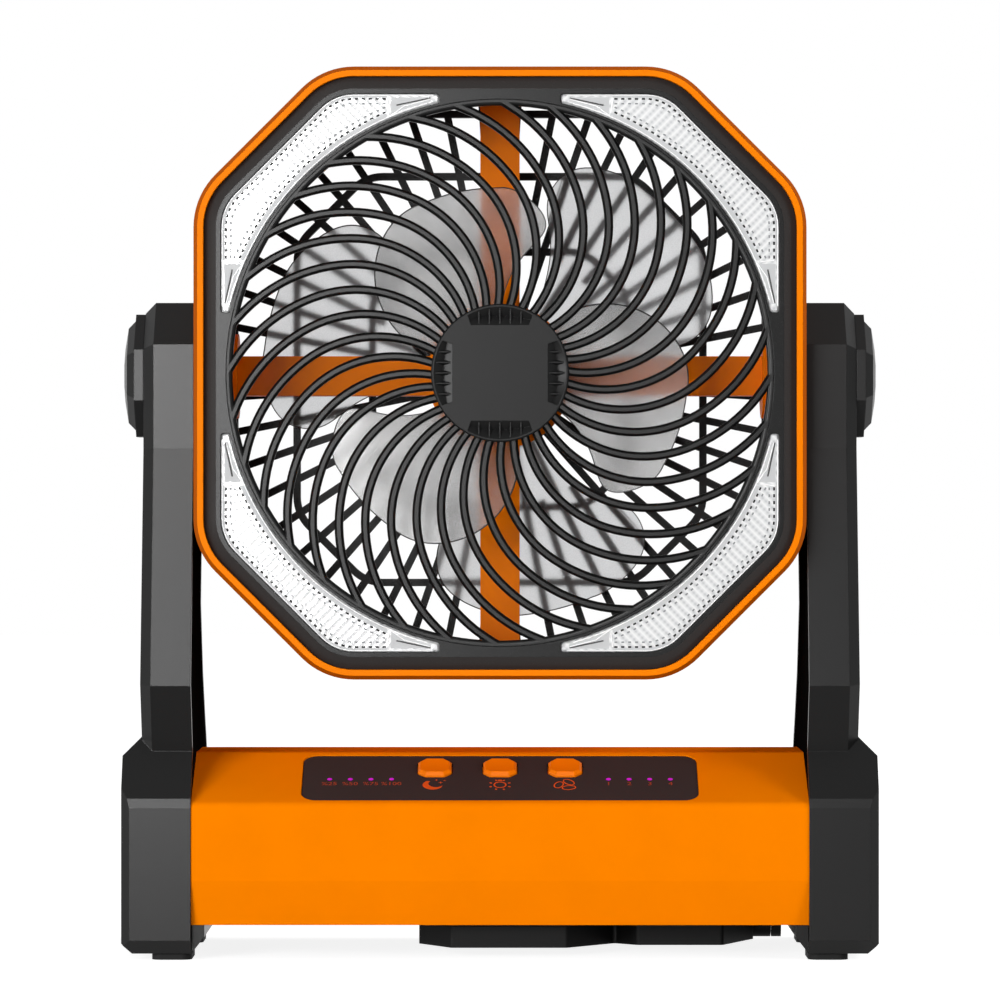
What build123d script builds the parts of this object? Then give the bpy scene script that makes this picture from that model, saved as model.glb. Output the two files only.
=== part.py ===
from build123d import *
import os
from math import atan2, cos, degrees, radians, sin, sqrt, tan

os.makedirs("parts", exist_ok=True)

# A portable camping fan. A square head with clipped corners tilts in a fork of two stands, over
# a base that holds the battery. A cross of four struts in the head carries two motors back to
# back: a small three-lobed rotor in front of it and a larger one behind, which turn against each
# other. Millimetres; +X right, +Y to the back, +Z up. The origin is on the floor, under the
# middle of the whole fan.

# ---- Clearances ----
snug = 0.1  # round pieces that are screwed or snapped together
slip = 0.3  # between faces that must never rub
running = 0.05  # radial, shaft in its bearing

# ---- Base and stands ----
head_gap = 1.3  # between the head's side and a stand
base_depth = 98.0
wall = 2.5
foot_height = 2.1
pod_thickness = 22.7
pod_lip = 51.3  # top of the pod's upright front face
pod_top = 72.4
pod_setback = 13.0  # of the pod's top edge behind its front face
pod_tail = 8.0  # the same at the back
pod_tail_drop = 10.4
pod_toe = 4.5  # chamfer under the pod's front and back
pod_shoulder = 6.2  # bevel between the pod's side and the arm
pod_under_bevel = 3.4
pod_edge_bevel = 2.8
pod_lip_bevel = 1.6
arm_thickness = 16.6
arm_bevel = 3.5
arm_root = 58.0  # the arm starts inside the pod at this height
arm_root_setback = 14.5
knee_height = 89.2  # the arm's foremost corner
shoulder_height = 166.4  # where the arm's front edge turns upright
neck_height = 132.0
notch_height = 115.0
notch_depth = 4.0  # of the notch in the arm's back edge, measured from the hub's back
haunch_height = 92.0
haunch_reach = 8.0  # of the haunch behind the hub's back
heel_height = 67.7
heel_setback = 5.0
ledge_reach = 4.2  # of the rail under the base housing
ledge_height = 4.0
foot_length = 22.0
foot_width = 13.0
foot_end = 5.5  # from the pod's front or back to the pad

housing_lift = 11.5  # underside of the housing above the floor
housing_top = 66.2
housing_lip = 50.8  # where the control slope starts
housing_setback = 0.5
toe_height = 26.0
toe_in = 2.5
slope_angle = 25.0
back_slope_run = 27.0
lip_round = 3.0
ridge_round = 4.0

panel_width = 129.3
panel_length = 31.4
panel_round = 5.0
panel_sink = 0.4
panel_thickness = 1.2
panel_shift = 0.4  # up the slope from its middle
panel_ledge = 5.0  # under the panel's ends
panel_side_ledge = 0.9
button_width = 11.0
button_length = 11.2
button_corner = 2.4
button_rise = 1.5
button_bevel = 1.05
button_dish = 0.3  # of the hollow for the finger
button_pitch = 21.4
button_shift = 7.1  # up the slope from its middle
button_flange = 1.0
button_travel = 0.5
stem_width = 4.0
stem_length = 1.2
key_height = 3.0
key_size = 6.0
key_pin = 0.5
board_thickness = 1.6
board_edge = 0.6  # panel board smaller than the panel at each end
panel_board_length = 21.0
panel_post_radius = 2.3
lamp_count = 4
lamp_pitch = 6.75
lamp_first = 35.5  # from the middle to the innermost lamp
lamp_shift = 0.0
guide_radius = 0.8

tray_screw_inset = 7.5  # from the tray's ends
tray_screw_front = 9.2  # behind the tray's front edge
tray_screw_back = 8.2  # before its back edge
tray_post_radius = 4.0
tray_screw_radius = 1.6
tray_screw_length = 10.0
screw_head_radius = 3.0
screw_head_height = 1.2

cell_diameter = 21.2
cell_length = 70.0
cell_gap = 1.0
battery_inset = 5.4  # the cradle's outer end from the tray's end
battery_y = 12.0
cradle_floor = 2.0
cradle_height = 17.0
cradle_rim = 2.2
cradle_end = 2.0

main_board_width = 84.0
main_board_depth = 38.0
main_board_inset = 17.5  # its right end from the tray's end
main_board_height = 24.0
board_post_radius = 3.0
usb_c_width = 8.94
usb_c_height = 3.26
usb_c_length = 7.3
usb_a_width = 13.1
usb_a_height = 5.7
usb_a_length = 14.0
usb_a_tongue = 3.5  # middle of the tongue above the socket's underside
socket_shell = 0.4
socket_pitch = 26.0
socket_rim = 0.4

# ---- Hanging hook, folded flat under the base ----
hook_width = 9.0
hook_low = 3.0
hook_thickness = 7.2
hook_round = 1.2
hook_axis_y = 16.0
hook_inset = 17.5  # the shank from the tray's end
hook_barrel = 21.4
hook_pin_radius = 1.5
lug_thickness = 3.2
seat_front = -24.6  # middle of the bar at the main seat
seat_far = 93.5  # its ends, to the left of the shank
seat_near = 60.0
side_seat_front = -13.8  # middle of the bar at the side seat
side_seat_far = 33.0
side_seat_near = 9.5
nook_reach = 42.5
nook_y = -5.0
hook_tip_reach = 102.2
hook_tip_front = -11.0
hook_tip_back = 5.0

# ---- Head ----
head_width = 198.0
head_depth = 96.0
head_lead = 8.0  # the head stands this far in front of the base
head_round = 24.0
head_wall = 3.2
rim_bevel = 1.3
rim_fall = 2.2  # of the front rim's bevel, in depth
tilt_height = 190.5
split_setback = 31.0  # from the head's front to its parting line
lap = 4.0
grille_depth = 6.0
boss_radius = 4.0
boss_inset = 7.05  # from the clipped corner's flat

hub_flats = 48.0  # the arm's octagonal hub
pin_radius = 6.0
pin_depth = 8.0  # of the pin's bore in the head's boss
pivot_boss_radius = 14.0
pivot_boss = 9.2
bush_radius = 9.0
bush_length = 10.5
bush_boss_radius = 12.5
nut_radius = 9.0
nut_thickness = 2.6
washer_radius = 14.0
washer_thickness = 0.95
cap_flats = 40.4
cap_foot = 3.2
cap_step = 2.0
cap_body = 2.6
cap_crown = 1.3
cap_crown_flats = 17.2

strut_width = 13.0
strut_depth = 14.0
carrier_radius = 24.0
wire_bore = 4.0

bezel_sink = 0.8
bezel_plate = 3.0
bezel_skirt = 5.2
bezel_skirt_wall = 2.0
bezel_slope_width = 4.0  # of the band that falls back to the rim
bezel_slope_fall = 1.5
ledge_inset = 7.0
ledge_thickness = 2.0
lens_inset = 8.9  # window edge from the head's outside
lens_rim = 9.7  # window's inner arc from the head's outside, on the axes
lens_width = 12.15  # of the window at the middle of the corner
lens_tip_gap = 19.5
lens_tip_round = 1.25
lens_sink = 0.3
lens_flange = 1.2
lens_flange_reach = 0.8
lens_edge = 0.7
reflector_depth = 6.0
reflector_wall = 1.0
led_board = 1.0
led_size = 2.8
led_height = 0.8
led_count = 7
led_step = 6.5
led_inset = 5.2  # from the window's inner arc
led_margin = 2.5
led_tip_gap = 13.5

guard_lip = 0.9  # of the bezel between the lamps and the guard
guard_ring = 1.9
guard_ring_round = 1.2
guard_depth = 2.8
guard_seat_reach = 1.4
guard_seat = 1.5
guard_spokes = 36
spoke_width = 2.8
spoke_crown = 1.2
spoke_side = 1.7
spoke_root_angle = 42.2
spoke_mid_radius = 45.5
spoke_mid_angle = 45.3
spoke_bend_radius = 62.9
spoke_bend_angle = 56.3
spoke_tip_angle = 78.0
guard_hub_radius = 22.0
guard_hub_bore = 14.0
hub_cap_radius = 22.3
hub_plug_radius = 21.2
hub_cap_sink = 1.8  # of the cap's plug in the guard's hub ring
hub_cap_bevel = 0.45
hub_flat = 15.4  # centre to a groove's inner edge
groove_rim = 21.4
groove_depth = 1.9
groove_half = 9.3
groove_flare = 2.1  # wider towards the rim, at each end
hub_ribs = 5
hub_rib = 1.8  # at its foot
hub_rib_crest = 0.4
hub_rib_pitch = 3.4
hub_rib_drop = 0.3

motor_plate_radius = 17.0
motor_plate = 2.0
bearing_tube_radius = 5.5
bearing_radius = 4.5
bearing_length = 4.0
shaft_radius = 1.5
stator_radius = 13.5
stator_low = 7.0
stator_height = 11.0
stator_teeth = 9
stator_slot = 3.0
can_radius = 17.0
can_wall = 1.8
can_low = 5.0
can_top = 23.5
can_plate = 1.5
hub_radius = 20.0
hub_wall = 1.8
hub_low = 7.0
hub_top_round = 3.0
blade_skin = 1.6
blade_count = 3
motor_screw_circle = 12.0
motor_screw_radius = 1.25
motor_screw_head = 2.3
motor_screw_rise = 1.4

front_blade_radius = 61.2
front_blade_low = 11.0
front_blade_height = 22.0
front_blade_span = 92.0  # turn of the blade's helix over its height
front_lobe_start = 73.0  # the blunt tip, seen from the front, counter-clockwise from +X
rear_blade_radius = 80.0
rear_blade_low = 6.0
rear_blade_height = 22.0
rear_blade_span = 70.0
rear_lobe_start = 105.0  # the blunt tip, seen from the back

lattice_bar = 2.5
lattice_depth = 3.0
lattice_hub = 24.0
lattice_inner_flat = 43.4
lattice_inner_corner = 51.3
lattice_outer_flat = 69.1
lattice_outer_corner = 81.2
lattice_round = 14.0
lattice_rim = 5.5
lattice_edge = 7.4  # outermost ring, from the head's outside
lattice_spokes = 48
grille_pad_radius = 4.5
grille_screw_inset = 5.75  # from the clipped corner's flat
grille_screw_radius = 1.5

# ---- What follows from them ----
head_half = head_width / 2
head_corner = head_half - lens_rim + lens_width + lens_inset  # centre to the corner's flat
head_clip = head_width - sqrt(2) * head_corner  # leg of the clipped corner
fork_half = head_half + head_gap
overall_depth = base_depth + head_lead
head_front = -overall_depth / 2
head_back = head_front + head_depth
base_front = head_front + head_lead
base_back = overall_depth / 2
tilt_y = head_front + head_depth / 2
hub_half = hub_flats / 2
hub_clip = hub_half * (2 - sqrt(2))

housing_front = base_front + housing_setback
housing_back = base_back - housing_setback
slope_run = (housing_top - housing_lip) / tan(radians(slope_angle))
ridge_y = housing_front + slope_run
tray_top = housing_lift + wall
tray_front = housing_front + toe_in + wall
tray_back = housing_back - wall
tray_half = fork_half - wall
tray_end = tray_half - slip
battery_x = battery_inset + cradle_end + snug + cell_length / 2 - tray_end
main_board_x = tray_end - main_board_inset - main_board_width / 2
hook_shank_x = tray_end - hook_inset
slope = Plane(
    origin=(0, (housing_front + ridge_y) / 2, (housing_lip + housing_top) / 2),
    x_dir=(1, 0, 0),
    z_dir=(0, -sin(radians(slope_angle)), cos(radians(slope_angle))),
)
panel_floor = panel_sink + panel_thickness
key_depth = panel_floor + slip + button_flange + stem_length + button_travel + running
board_depth = key_depth + key_pin + key_height
cross_front = tilt_y - strut_depth / 2
cross_back = tilt_y + strut_depth / 2
split_y = head_front + split_setback
shell_back = head_back - grille_depth
bezel_front = head_front + bezel_sink
bezel_back = bezel_front + bezel_plate
hook_axis_z = hook_low + hook_thickness / 2
lens_inner_radius = head_half - lens_rim
guard_bore = lens_inner_radius - guard_lip
guard_ring_outer = guard_bore - snug
guard_ring_inner = guard_ring_outer - guard_ring
led_gap = lens_tip_gap + led_tip_gap


def save(piece, name):
    """Labels a finished piece and writes its STEP file."""
    piece.label = name
    export_step(piece, f"parts/{name}.step")


def polar(radius, angle):
    return (radius * cos(radians(angle)), radius * sin(radians(angle)))


def head_plane(y):
    """The plane across the head at depth y, facing the front, centred on the fan's axis."""
    return Plane(origin=(0, y, tilt_height), x_dir=(1, 0, 0), z_dir=(0, -1, 0))


# ---- Base housing: the orange shell with the control slope ----
def housing_section(inset=0.0):
    """Side section of the base housing: local x is depth, local y is height."""
    with BuildSketch() as section:
        with BuildLine():
            Polyline(
                (housing_front + toe_in, housing_lift),
                (housing_front, toe_height),
                (housing_front, housing_lip),
                (ridge_y, housing_top),
                (housing_back - back_slope_run, housing_top),
                (housing_back, housing_lip),
                (housing_back, housing_lift),
                close=True,
            )
        make_face()
        fillet(section.vertices().group_by(Axis.Y)[-1], ridge_round)
        lips = [v for v in section.vertices() if abs(v.Y - housing_lip) < snug]
        fillet(lips, lip_round)
        if inset:
            offset(amount=-inset, kind=Kind.INTERSECTION)
    return section.sketch


tray_screw_x = tray_end - tray_screw_inset
tray_seats = [
    (x, y)
    for x in (-tray_screw_x, tray_screw_x)
    for y in (tray_front + slip + tray_screw_front, tray_back - slip - tray_screw_back)
]
with BuildPart() as tray_posts:
    with BuildSketch(Plane.XY.offset(tray_top)):
        with Locations(tray_seats):
            Circle(tray_post_radius)
            Circle(tray_screw_radius, mode=Mode.SUBTRACT)
    extrude(amount=housing_top)
    with BuildSketch(Plane.YZ):
        add(housing_section(wall / 2))
    extrude(amount=fork_half, both=True, mode=Mode.INTERSECT)

with BuildPart() as base_housing:
    with BuildSketch(Plane.YZ):
        add(housing_section())
    extrude(amount=fork_half, both=True)
    with BuildSketch(Plane.YZ):
        add(housing_section(wall))
        with Locations(((tray_front + tray_back) / 2, tray_top)):
            Rectangle(tray_back - tray_front, 3 * wall)
    extrude(amount=tray_half, both=True, mode=Mode.SUBTRACT)
    # The pocket that takes the control panel, and the window through its floor.
    with BuildSketch(slope):
        with Locations((0, panel_shift)):
            RectangleRounded(panel_width + 2 * snug, panel_length + 2 * snug, panel_round)
    extrude(amount=-panel_floor, mode=Mode.SUBTRACT)
    with BuildSketch(slope):
        with Locations((0, panel_shift)):
            Rectangle(panel_width - 2 * panel_ledge, panel_length - 2 * panel_side_ledge)
    extrude(amount=-2 * wall, mode=Mode.SUBTRACT)
    # Posts behind the panel for its board, and posts for the tray screws.
    with BuildSketch(slope.offset(-board_depth)):
        with Locations((0, panel_shift)):
            with GridLocations(panel_width - panel_ledge, panel_board_length - panel_ledge, 2, 2):
                Circle(panel_post_radius)
    extrude(amount=board_depth - panel_floor)
    add(tray_posts.part)
    # Openings in the back wall for the two sockets, which stand on the main board.
    with BuildSketch(Plane.XZ.offset(-housing_back - wall)):
        with Locations((main_board_x - socket_pitch / 2, main_board_height + usb_c_height / 2)):
            RectangleRounded(
                usb_c_width + 2 * socket_rim, usb_c_height + 2 * socket_rim, usb_c_height / 2
            )
        with Locations((main_board_x + socket_pitch / 2, main_board_height + usb_a_height / 2)):
            Rectangle(usb_a_width + 2 * socket_rim, usb_a_height + 2 * socket_rim)
    extrude(amount=3 * wall, mode=Mode.SUBTRACT)
save(base_housing.part, "base_housing")

# ---- Base tray: the bottom cover, with the hook's two lugs under it ----
tray_middle = (tray_front + tray_back) / 2
lug_starts = (
    hook_shank_x - hook_barrel / 2 - slip - lug_thickness,
    hook_shank_x + hook_barrel / 2 + slip,
)
with BuildPart() as base_tray:
    with BuildSketch(Plane.XY.offset(housing_lift)):
        with Locations((0, tray_middle)):
            Rectangle(2 * tray_end, tray_back - tray_front - 2 * slip)
    extrude(amount=wall)
    for start in lug_starts:
        with BuildSketch(Plane.YZ.offset(start)):
            with Locations((hook_axis_y, hook_axis_z)):
                Circle(hook_thickness / 2)
            with Locations((hook_axis_y, (hook_axis_z + housing_lift) / 2)):
                Rectangle(hook_thickness, housing_lift - hook_axis_z)
            with Locations((hook_axis_y, hook_axis_z)):
                Circle(hook_pin_radius + running, mode=Mode.SUBTRACT)
        extrude(amount=lug_thickness)
    # Posts under the main board.
    with BuildSketch(Plane.XY.offset(tray_top)):
        with Locations((main_board_x, housing_back - wall - main_board_depth / 2)):
            with GridLocations(
                main_board_width - 4 * board_post_radius,
                main_board_depth - 4 * board_post_radius,
                2,
                2,
            ):
                Circle(board_post_radius)
    extrude(amount=main_board_height - board_thickness - tray_top)
    with Locations([Location((x, y, housing_lift), (180, 0, 0)) for x, y in tray_seats]):
        CounterBoreHole(
            tray_screw_radius + snug, screw_head_radius + snug, screw_head_height, depth=wall
        )
save(base_tray.part, "base_tray")

with BuildPart() as tray_screws:
    with BuildSketch(Plane.XY.offset(housing_lift)):
        with Locations(tray_seats):
            Circle(screw_head_radius)
    extrude(amount=screw_head_height)
    with BuildSketch(Plane.XY.offset(housing_lift + screw_head_height)):
        with Locations(tray_seats):
            Circle(tray_screw_radius - running)
    extrude(amount=tray_screw_length - screw_head_height)
save(tray_screws.part, "tray_screws")

# ---- Control panel, buttons and what they press ----
lamp_xs = [side * (lamp_first + k * lamp_pitch) for side in (-1, 1) for k in range(lamp_count)]
button_xs = [-button_pitch, 0, button_pitch]


def button_outline(grow=0.0):
    """Face of a push button, a rectangle with clipped corners, at the local origin."""
    with BuildSketch() as outline:
        Rectangle(button_width + 2 * grow, button_length + 2 * grow)
        chamfer(outline.vertices(), button_corner)
    return outline.sketch


with BuildPart() as control_panel:
    with BuildSketch(slope.offset(-panel_floor)):
        with Locations((0, panel_shift)):
            RectangleRounded(panel_width, panel_length, panel_round - snug)
        with Locations([(x, button_shift) for x in button_xs]):
            add(button_outline(slip), mode=Mode.SUBTRACT)
        with Locations([(x, lamp_shift) for x in lamp_xs]):
            Circle(guide_radius + snug, mode=Mode.SUBTRACT)
    extrude(amount=panel_thickness)
save(control_panel.part, "control_panel")

flange_low = panel_floor + slip + button_flange
dish_half = button_length / 2 - button_bevel - slip
dish_radius = (dish_half**2 + button_dish**2) / (2 * button_dish)
for name, x in zip(("left_button", "middle_button", "right_button"), button_xs):
    with BuildPart() as button:
        with BuildSketch(slope.offset(-flange_low)):
            with Locations((x, button_shift)):
                Rectangle(button_width + 2 * button_flange, button_length + 2 * button_flange)
        extrude(amount=button_flange)
        with BuildSketch(slope.offset(-flange_low)):
            with Locations((x, button_shift)):
                add(button_outline())
        extrude(amount=flange_low - panel_sink + button_rise)
        top = button.faces().sort_by(Axis((0, 0, 0), slope.z_dir))[-1]
        chamfer(top.edges(), button_bevel)
        with BuildSketch(Plane(origin=top.center(), x_dir=slope.y_dir, z_dir=slope.x_dir)):
            with Locations((0, dish_radius - button_dish)):
                Circle(dish_radius)
        extrude(amount=button_width, both=True, mode=Mode.SUBTRACT)
        with BuildSketch(slope.offset(-flange_low - stem_length)):
            with Locations((x, button_shift)):
                Rectangle(stem_width, stem_width)
        extrude(amount=stem_length)
    save(button.part, name)

with BuildPart() as panel_board:
    with BuildSketch(slope.offset(-board_depth - board_thickness)):
        with Locations((0, panel_shift)):
            Rectangle(panel_width - 2 * board_edge, panel_board_length)
    extrude(amount=board_thickness)
save(panel_board.part, "panel_board")

with BuildPart() as key_switches:
    with BuildSketch(slope.offset(-board_depth)):
        with Locations([(x, button_shift) for x in button_xs]):
            Rectangle(key_size, key_size)
    extrude(amount=key_height)
    with BuildSketch(slope.offset(-board_depth + key_height)):
        with Locations([(x, button_shift) for x in button_xs]):
            Circle(key_size / 4)
    extrude(amount=key_pin)
save(key_switches.part, "key_switches")

with BuildPart() as panel_lamps:
    with BuildSketch(slope.offset(-board_depth)):
        with Locations([(x, lamp_shift) for x in lamp_xs]):
            Rectangle(2 * guide_radius, guide_radius)
    extrude(amount=guide_radius)
save(panel_lamps.part, "panel_lamps")

with BuildPart() as lamp_guides:
    with BuildSketch(slope.offset(-board_depth + guide_radius + slip)):
        with Locations([(x, lamp_shift) for x in lamp_xs]):
            Circle(guide_radius)
    extrude(amount=board_depth - guide_radius - slip - panel_sink)
save(lamp_guides.part, "lamp_guides")

# ---- Battery: four round cells in a cradle on the tray ----
cell_pitch = cell_diameter + cell_gap
cell_low = tray_top + cradle_floor + cell_diameter / 2
cell_seats = [
    (battery_y + side * cell_pitch / 2, cell_low + row * (cell_diameter + slip))
    for row in (0, 1)
    for side in (-1, 1)
]
with BuildPart() as battery_cells:
    with BuildSketch(Plane.YZ.offset(battery_x - cell_length / 2)):
        with Locations(cell_seats):
            Circle(cell_diameter / 2)
    extrude(amount=cell_length)
save(battery_cells.part, "battery_cells")

with BuildPart() as battery_cradle:
    with BuildSketch(Plane.YZ.offset(battery_x)):
        with Locations((battery_y, tray_top + cradle_height / 2)):
            Rectangle(2 * cell_pitch + 2 * cradle_rim, cradle_height)
    extrude(amount=cell_length / 2 + snug + cradle_end, both=True)
    with BuildSketch(Plane.YZ.offset(battery_x)):
        with Locations(cell_seats[:2]):
            Circle(cell_diameter / 2 + snug)
        with Locations((battery_y, cell_low + cradle_height / 2)):
            Rectangle(2 * cell_pitch, cradle_height)
    extrude(amount=cell_length / 2 + snug, both=True, mode=Mode.SUBTRACT)
save(battery_cradle.part, "battery_cradle")

# ---- Main board with its two sockets at the back wall ----
with BuildPart() as main_board:
    with BuildSketch(Plane.XY.offset(main_board_height - board_thickness)):
        with Locations((main_board_x, housing_back - wall - main_board_depth / 2)):
            Rectangle(main_board_width, main_board_depth - slip)
    extrude(amount=board_thickness)
save(main_board.part, "main_board")

socket_face = Plane.XZ.offset(-housing_back + socket_rim)
with BuildPart() as charge_socket:
    with BuildSketch(socket_face):
        with Locations((main_board_x - socket_pitch / 2, main_board_height + usb_c_height / 2)):
            SlotOverall(usb_c_width, usb_c_height)
            SlotOverall(
                usb_c_width - 2 * socket_shell, usb_c_height - 2 * socket_shell, mode=Mode.SUBTRACT
            )
    extrude(amount=usb_c_length)
    with BuildSketch(socket_face.offset(usb_c_length - socket_shell)):
        with Locations((main_board_x - socket_pitch / 2, main_board_height + usb_c_height / 2)):
            SlotOverall(usb_c_width, usb_c_height)
    extrude(amount=socket_shell)
    with BuildSketch(socket_face.offset(socket_shell)):
        with Locations((main_board_x - socket_pitch / 2, main_board_height + usb_c_height / 2)):
            Rectangle(usb_c_width - 2 * usb_c_height / 2, 2 * socket_shell)
    extrude(amount=usb_c_length - socket_shell)
save(charge_socket.part, "charge_socket")

with BuildPart() as output_socket:
    with BuildSketch(socket_face):
        with Locations((main_board_x + socket_pitch / 2, main_board_height + usb_a_height / 2)):
            Rectangle(usb_a_width, usb_a_height)
            Rectangle(
                usb_a_width - 2 * socket_shell, usb_a_height - 2 * socket_shell, mode=Mode.SUBTRACT
            )
    extrude(amount=usb_a_length)
    with BuildSketch(socket_face.offset(usb_a_length - socket_shell)):
        with Locations((main_board_x + socket_pitch / 2, main_board_height + usb_a_height / 2)):
            Rectangle(usb_a_width, usb_a_height)
    extrude(amount=socket_shell)
    with BuildSketch(socket_face.offset(socket_shell)):
        with Locations((main_board_x + socket_pitch / 2, main_board_height + usb_a_tongue)):
            Rectangle(usb_a_width - 4 * socket_shell, 4 * socket_shell)
    extrude(amount=usb_a_length - socket_shell)
save(output_socket.part, "output_socket")

# ---- Hanging hook and its pin ----
with BuildPart() as hook:
    with BuildSketch(Plane.XY.offset(hook_low)) as hook_outline:
        with BuildLine() as bar:
            Polyline(
                (hook_shank_x - hook_tip_reach, hook_tip_back),
                (hook_shank_x - hook_tip_reach, hook_tip_front),
                (hook_shank_x - seat_far, seat_front),
                (hook_shank_x - seat_near, seat_front),
                (hook_shank_x - nook_reach, nook_y),
                (hook_shank_x - side_seat_far, side_seat_front),
                (hook_shank_x - side_seat_near, side_seat_front),
                (hook_shank_x, hook_axis_y - hook_width),
                (hook_shank_x, hook_axis_y),
            )
        trace(bar.line, hook_width)
        fillet(hook_outline.vertices(), hook_round)
    extrude(amount=hook_thickness)
    with BuildSketch(Plane.YZ.offset(hook_shank_x)):
        with Locations((hook_axis_y, hook_axis_z)):
            Circle(hook_thickness / 2)
    extrude(amount=hook_barrel / 2, both=True)
    with BuildSketch(Plane.YZ.offset(hook_shank_x)):
        with Locations((hook_axis_y, hook_axis_z)):
            Circle(hook_pin_radius + running)
    extrude(amount=hook_barrel, both=True, mode=Mode.SUBTRACT)
save(hook.part, "hook")

with BuildPart() as hook_pin:
    with BuildSketch(Plane.YZ.offset(lug_starts[0])):
        with Locations((hook_axis_y, hook_axis_z)):
            Circle(hook_pin_radius)
    extrude(amount=lug_starts[1] + lug_thickness - lug_starts[0])
save(hook_pin.part, "hook_pin")


# ---- Stands: foot pod and arm in one moulding, hollow, closed by a cover on the inner side ----
def pod_side(inset=0.0):
    """Side outline of a foot pod (local x is depth, local y is height)."""
    low = foot_height + pod_toe
    with BuildSketch() as outline:
        with BuildLine():
            Polyline(
                (base_front + pod_toe, foot_height),
                (base_front, low),
                (base_front, pod_lip),
                (base_front + pod_setback, pod_top),
                (base_back - pod_tail, pod_top),
                (base_back, pod_top - pod_tail_drop),
                (base_back, low),
                (base_back - pod_toe, foot_height),
                close=True,
            )
        make_face()
        lip = outline.vertices().filter_by_position(Axis.Y, pod_lip - snug, pod_lip + snug)
        chamfer(lip, pod_lip_bevel)
        if inset:
            offset(amount=-inset, kind=Kind.INTERSECTION)
    return outline.sketch


def arm_side(inset=0.0):
    """Side outline of an arm, up to its octagonal hub."""
    back = tilt_y + hub_half
    top = tilt_height + hub_half
    with BuildSketch() as outline:
        with BuildLine():
            Polyline(
                (base_front + arm_root_setback, arm_root),
                (base_front, knee_height),
                (tilt_y - hub_half, shoulder_height),
                (tilt_y - hub_half, top - hub_clip),
                (tilt_y - hub_half + hub_clip, top),
                (back - hub_clip, top),
                (back, top - hub_clip),
                (back, neck_height),
                (back - notch_depth, notch_height),
                (back + haunch_reach, haunch_height),
                (base_back - heel_setback, heel_height),
                (base_back - heel_setback, arm_root),
                close=True,
            )
        make_face()
        if inset:
            offset(amount=-inset, kind=Kind.INTERSECTION)
    return outline.sketch


def stand_block(inset=0.0):
    """Form of the right stand; inset by the wall, it is the hollow inside."""
    with BuildPart() as arm:
        with BuildSketch(Plane.YZ.offset(fork_half)):
            add(arm_side(inset))
        extrude(amount=arm_thickness - inset)
        outer = arm.faces().sort_by(Axis.X)[-1]
        chamfer(outer.edges(), arm_bevel - (2 - sqrt(2)) * inset)
    outside = fork_half + pod_thickness
    with BuildPart() as block:
        with BuildSketch(Plane.YZ.offset(fork_half)):
            add(pod_side(inset))
        extrude(amount=pod_thickness - inset)
        with BuildSketch(Plane.XZ):
            with BuildLine():
                Polyline(
                    (fork_half - inset, foot_height),
                    (outside - pod_under_bevel, foot_height),
                    (outside, foot_height + pod_under_bevel),
                    (outside, pod_top - pod_shoulder),
                    (outside - pod_shoulder, pod_top),
                    (fork_half - inset, pod_top),
                    close=True,
                )
            make_face()
            if inset:
                offset(amount=-inset, kind=Kind.INTERSECTION)
        extrude(amount=base_depth, both=True, mode=Mode.INTERSECT)
        uprights = block.faces().sort_by(Axis.X)[-1].edges().filter_by(Axis.Z)
        chamfer(uprights, pod_edge_bevel - (2 - sqrt(2)) * inset)
        add(arm.part)
    return block.part


post_seats = [
    (tilt_y, neck_height, arm_thickness),
    (tilt_y, haunch_height, arm_thickness),
    (base_front + 2 * pod_toe + wall, pod_lip / 2, pod_thickness),
    (base_back - 2 * pod_toe - wall, pod_lip / 2, pod_thickness),
]
with BuildPart() as right_stand:
    add(stand_block())
    add(stand_block(wall), mode=Mode.SUBTRACT)
    with BuildSketch(Plane.XZ.offset(pod_toe - base_back)):
        with BuildLine():
            Polyline(
                (fork_half + wall, foot_height),
                (fork_half + wall, foot_height + wall),
                (fork_half, foot_height + wall),
                (fork_half, housing_lift),
                (fork_half - ledge_reach, housing_lift),
                (fork_half - ledge_reach, housing_lift - ledge_height),
                (fork_half, foot_height),
                close=True,
            )
        make_face()
    extrude(amount=base_depth - 2 * pod_toe)
    for y, z, thickness in post_seats:
        with BuildSketch(Plane.YZ.offset(fork_half + wall)):
            with Locations((y, z)):
                Circle(boss_radius)
        extrude(amount=thickness - 1.5 * wall)


def stand_mouth(inset):
    """Outline of the stand's open inner side, inset from the moulding's outside."""
    with BuildSketch() as mouth:
        add(pod_side(wall))
        add(arm_side(wall))
        offset(amount=wall - inset, kind=Kind.INTERSECTION)
    return mouth.sketch


with BuildPart() as right_stand_cover:
    with BuildSketch(Plane.YZ.offset(fork_half)):
        add(stand_mouth(wall + snug))
    extrude(amount=wall)
    with BuildSketch(Plane.YZ.offset(fork_half)):
        with Locations((tilt_y, tilt_height)):
            Circle(bush_boss_radius)
    extrude(amount=bush_length - wall)
    with BuildSketch(Plane.YZ.offset(fork_half)):
        with Locations((tilt_y, tilt_height)):
            Circle(bush_radius + running)
    extrude(amount=bush_length, mode=Mode.SUBTRACT)

# ---- Pivot hardware on the tilt axis ----
tilt_seat = (tilt_y, tilt_height)
bush_end = fork_half + bush_length
pin_start = head_half - head_wall - pin_depth
pin_end = bush_end + slip + nut_thickness
with BuildPart() as tilt_pins:
    with BuildSketch(Plane.YZ.offset(pin_start)):
        with Locations(tilt_seat):
            Circle(pin_radius)
            Circle(wire_bore, mode=Mode.SUBTRACT)
    extrude(amount=pin_end - pin_start)

with BuildPart() as tilt_bushes:
    with BuildSketch(Plane.YZ.offset(fork_half)):
        with Locations(tilt_seat):
            Circle(bush_radius)
            Circle(pin_radius + running, mode=Mode.SUBTRACT)
    extrude(amount=bush_length)

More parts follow.
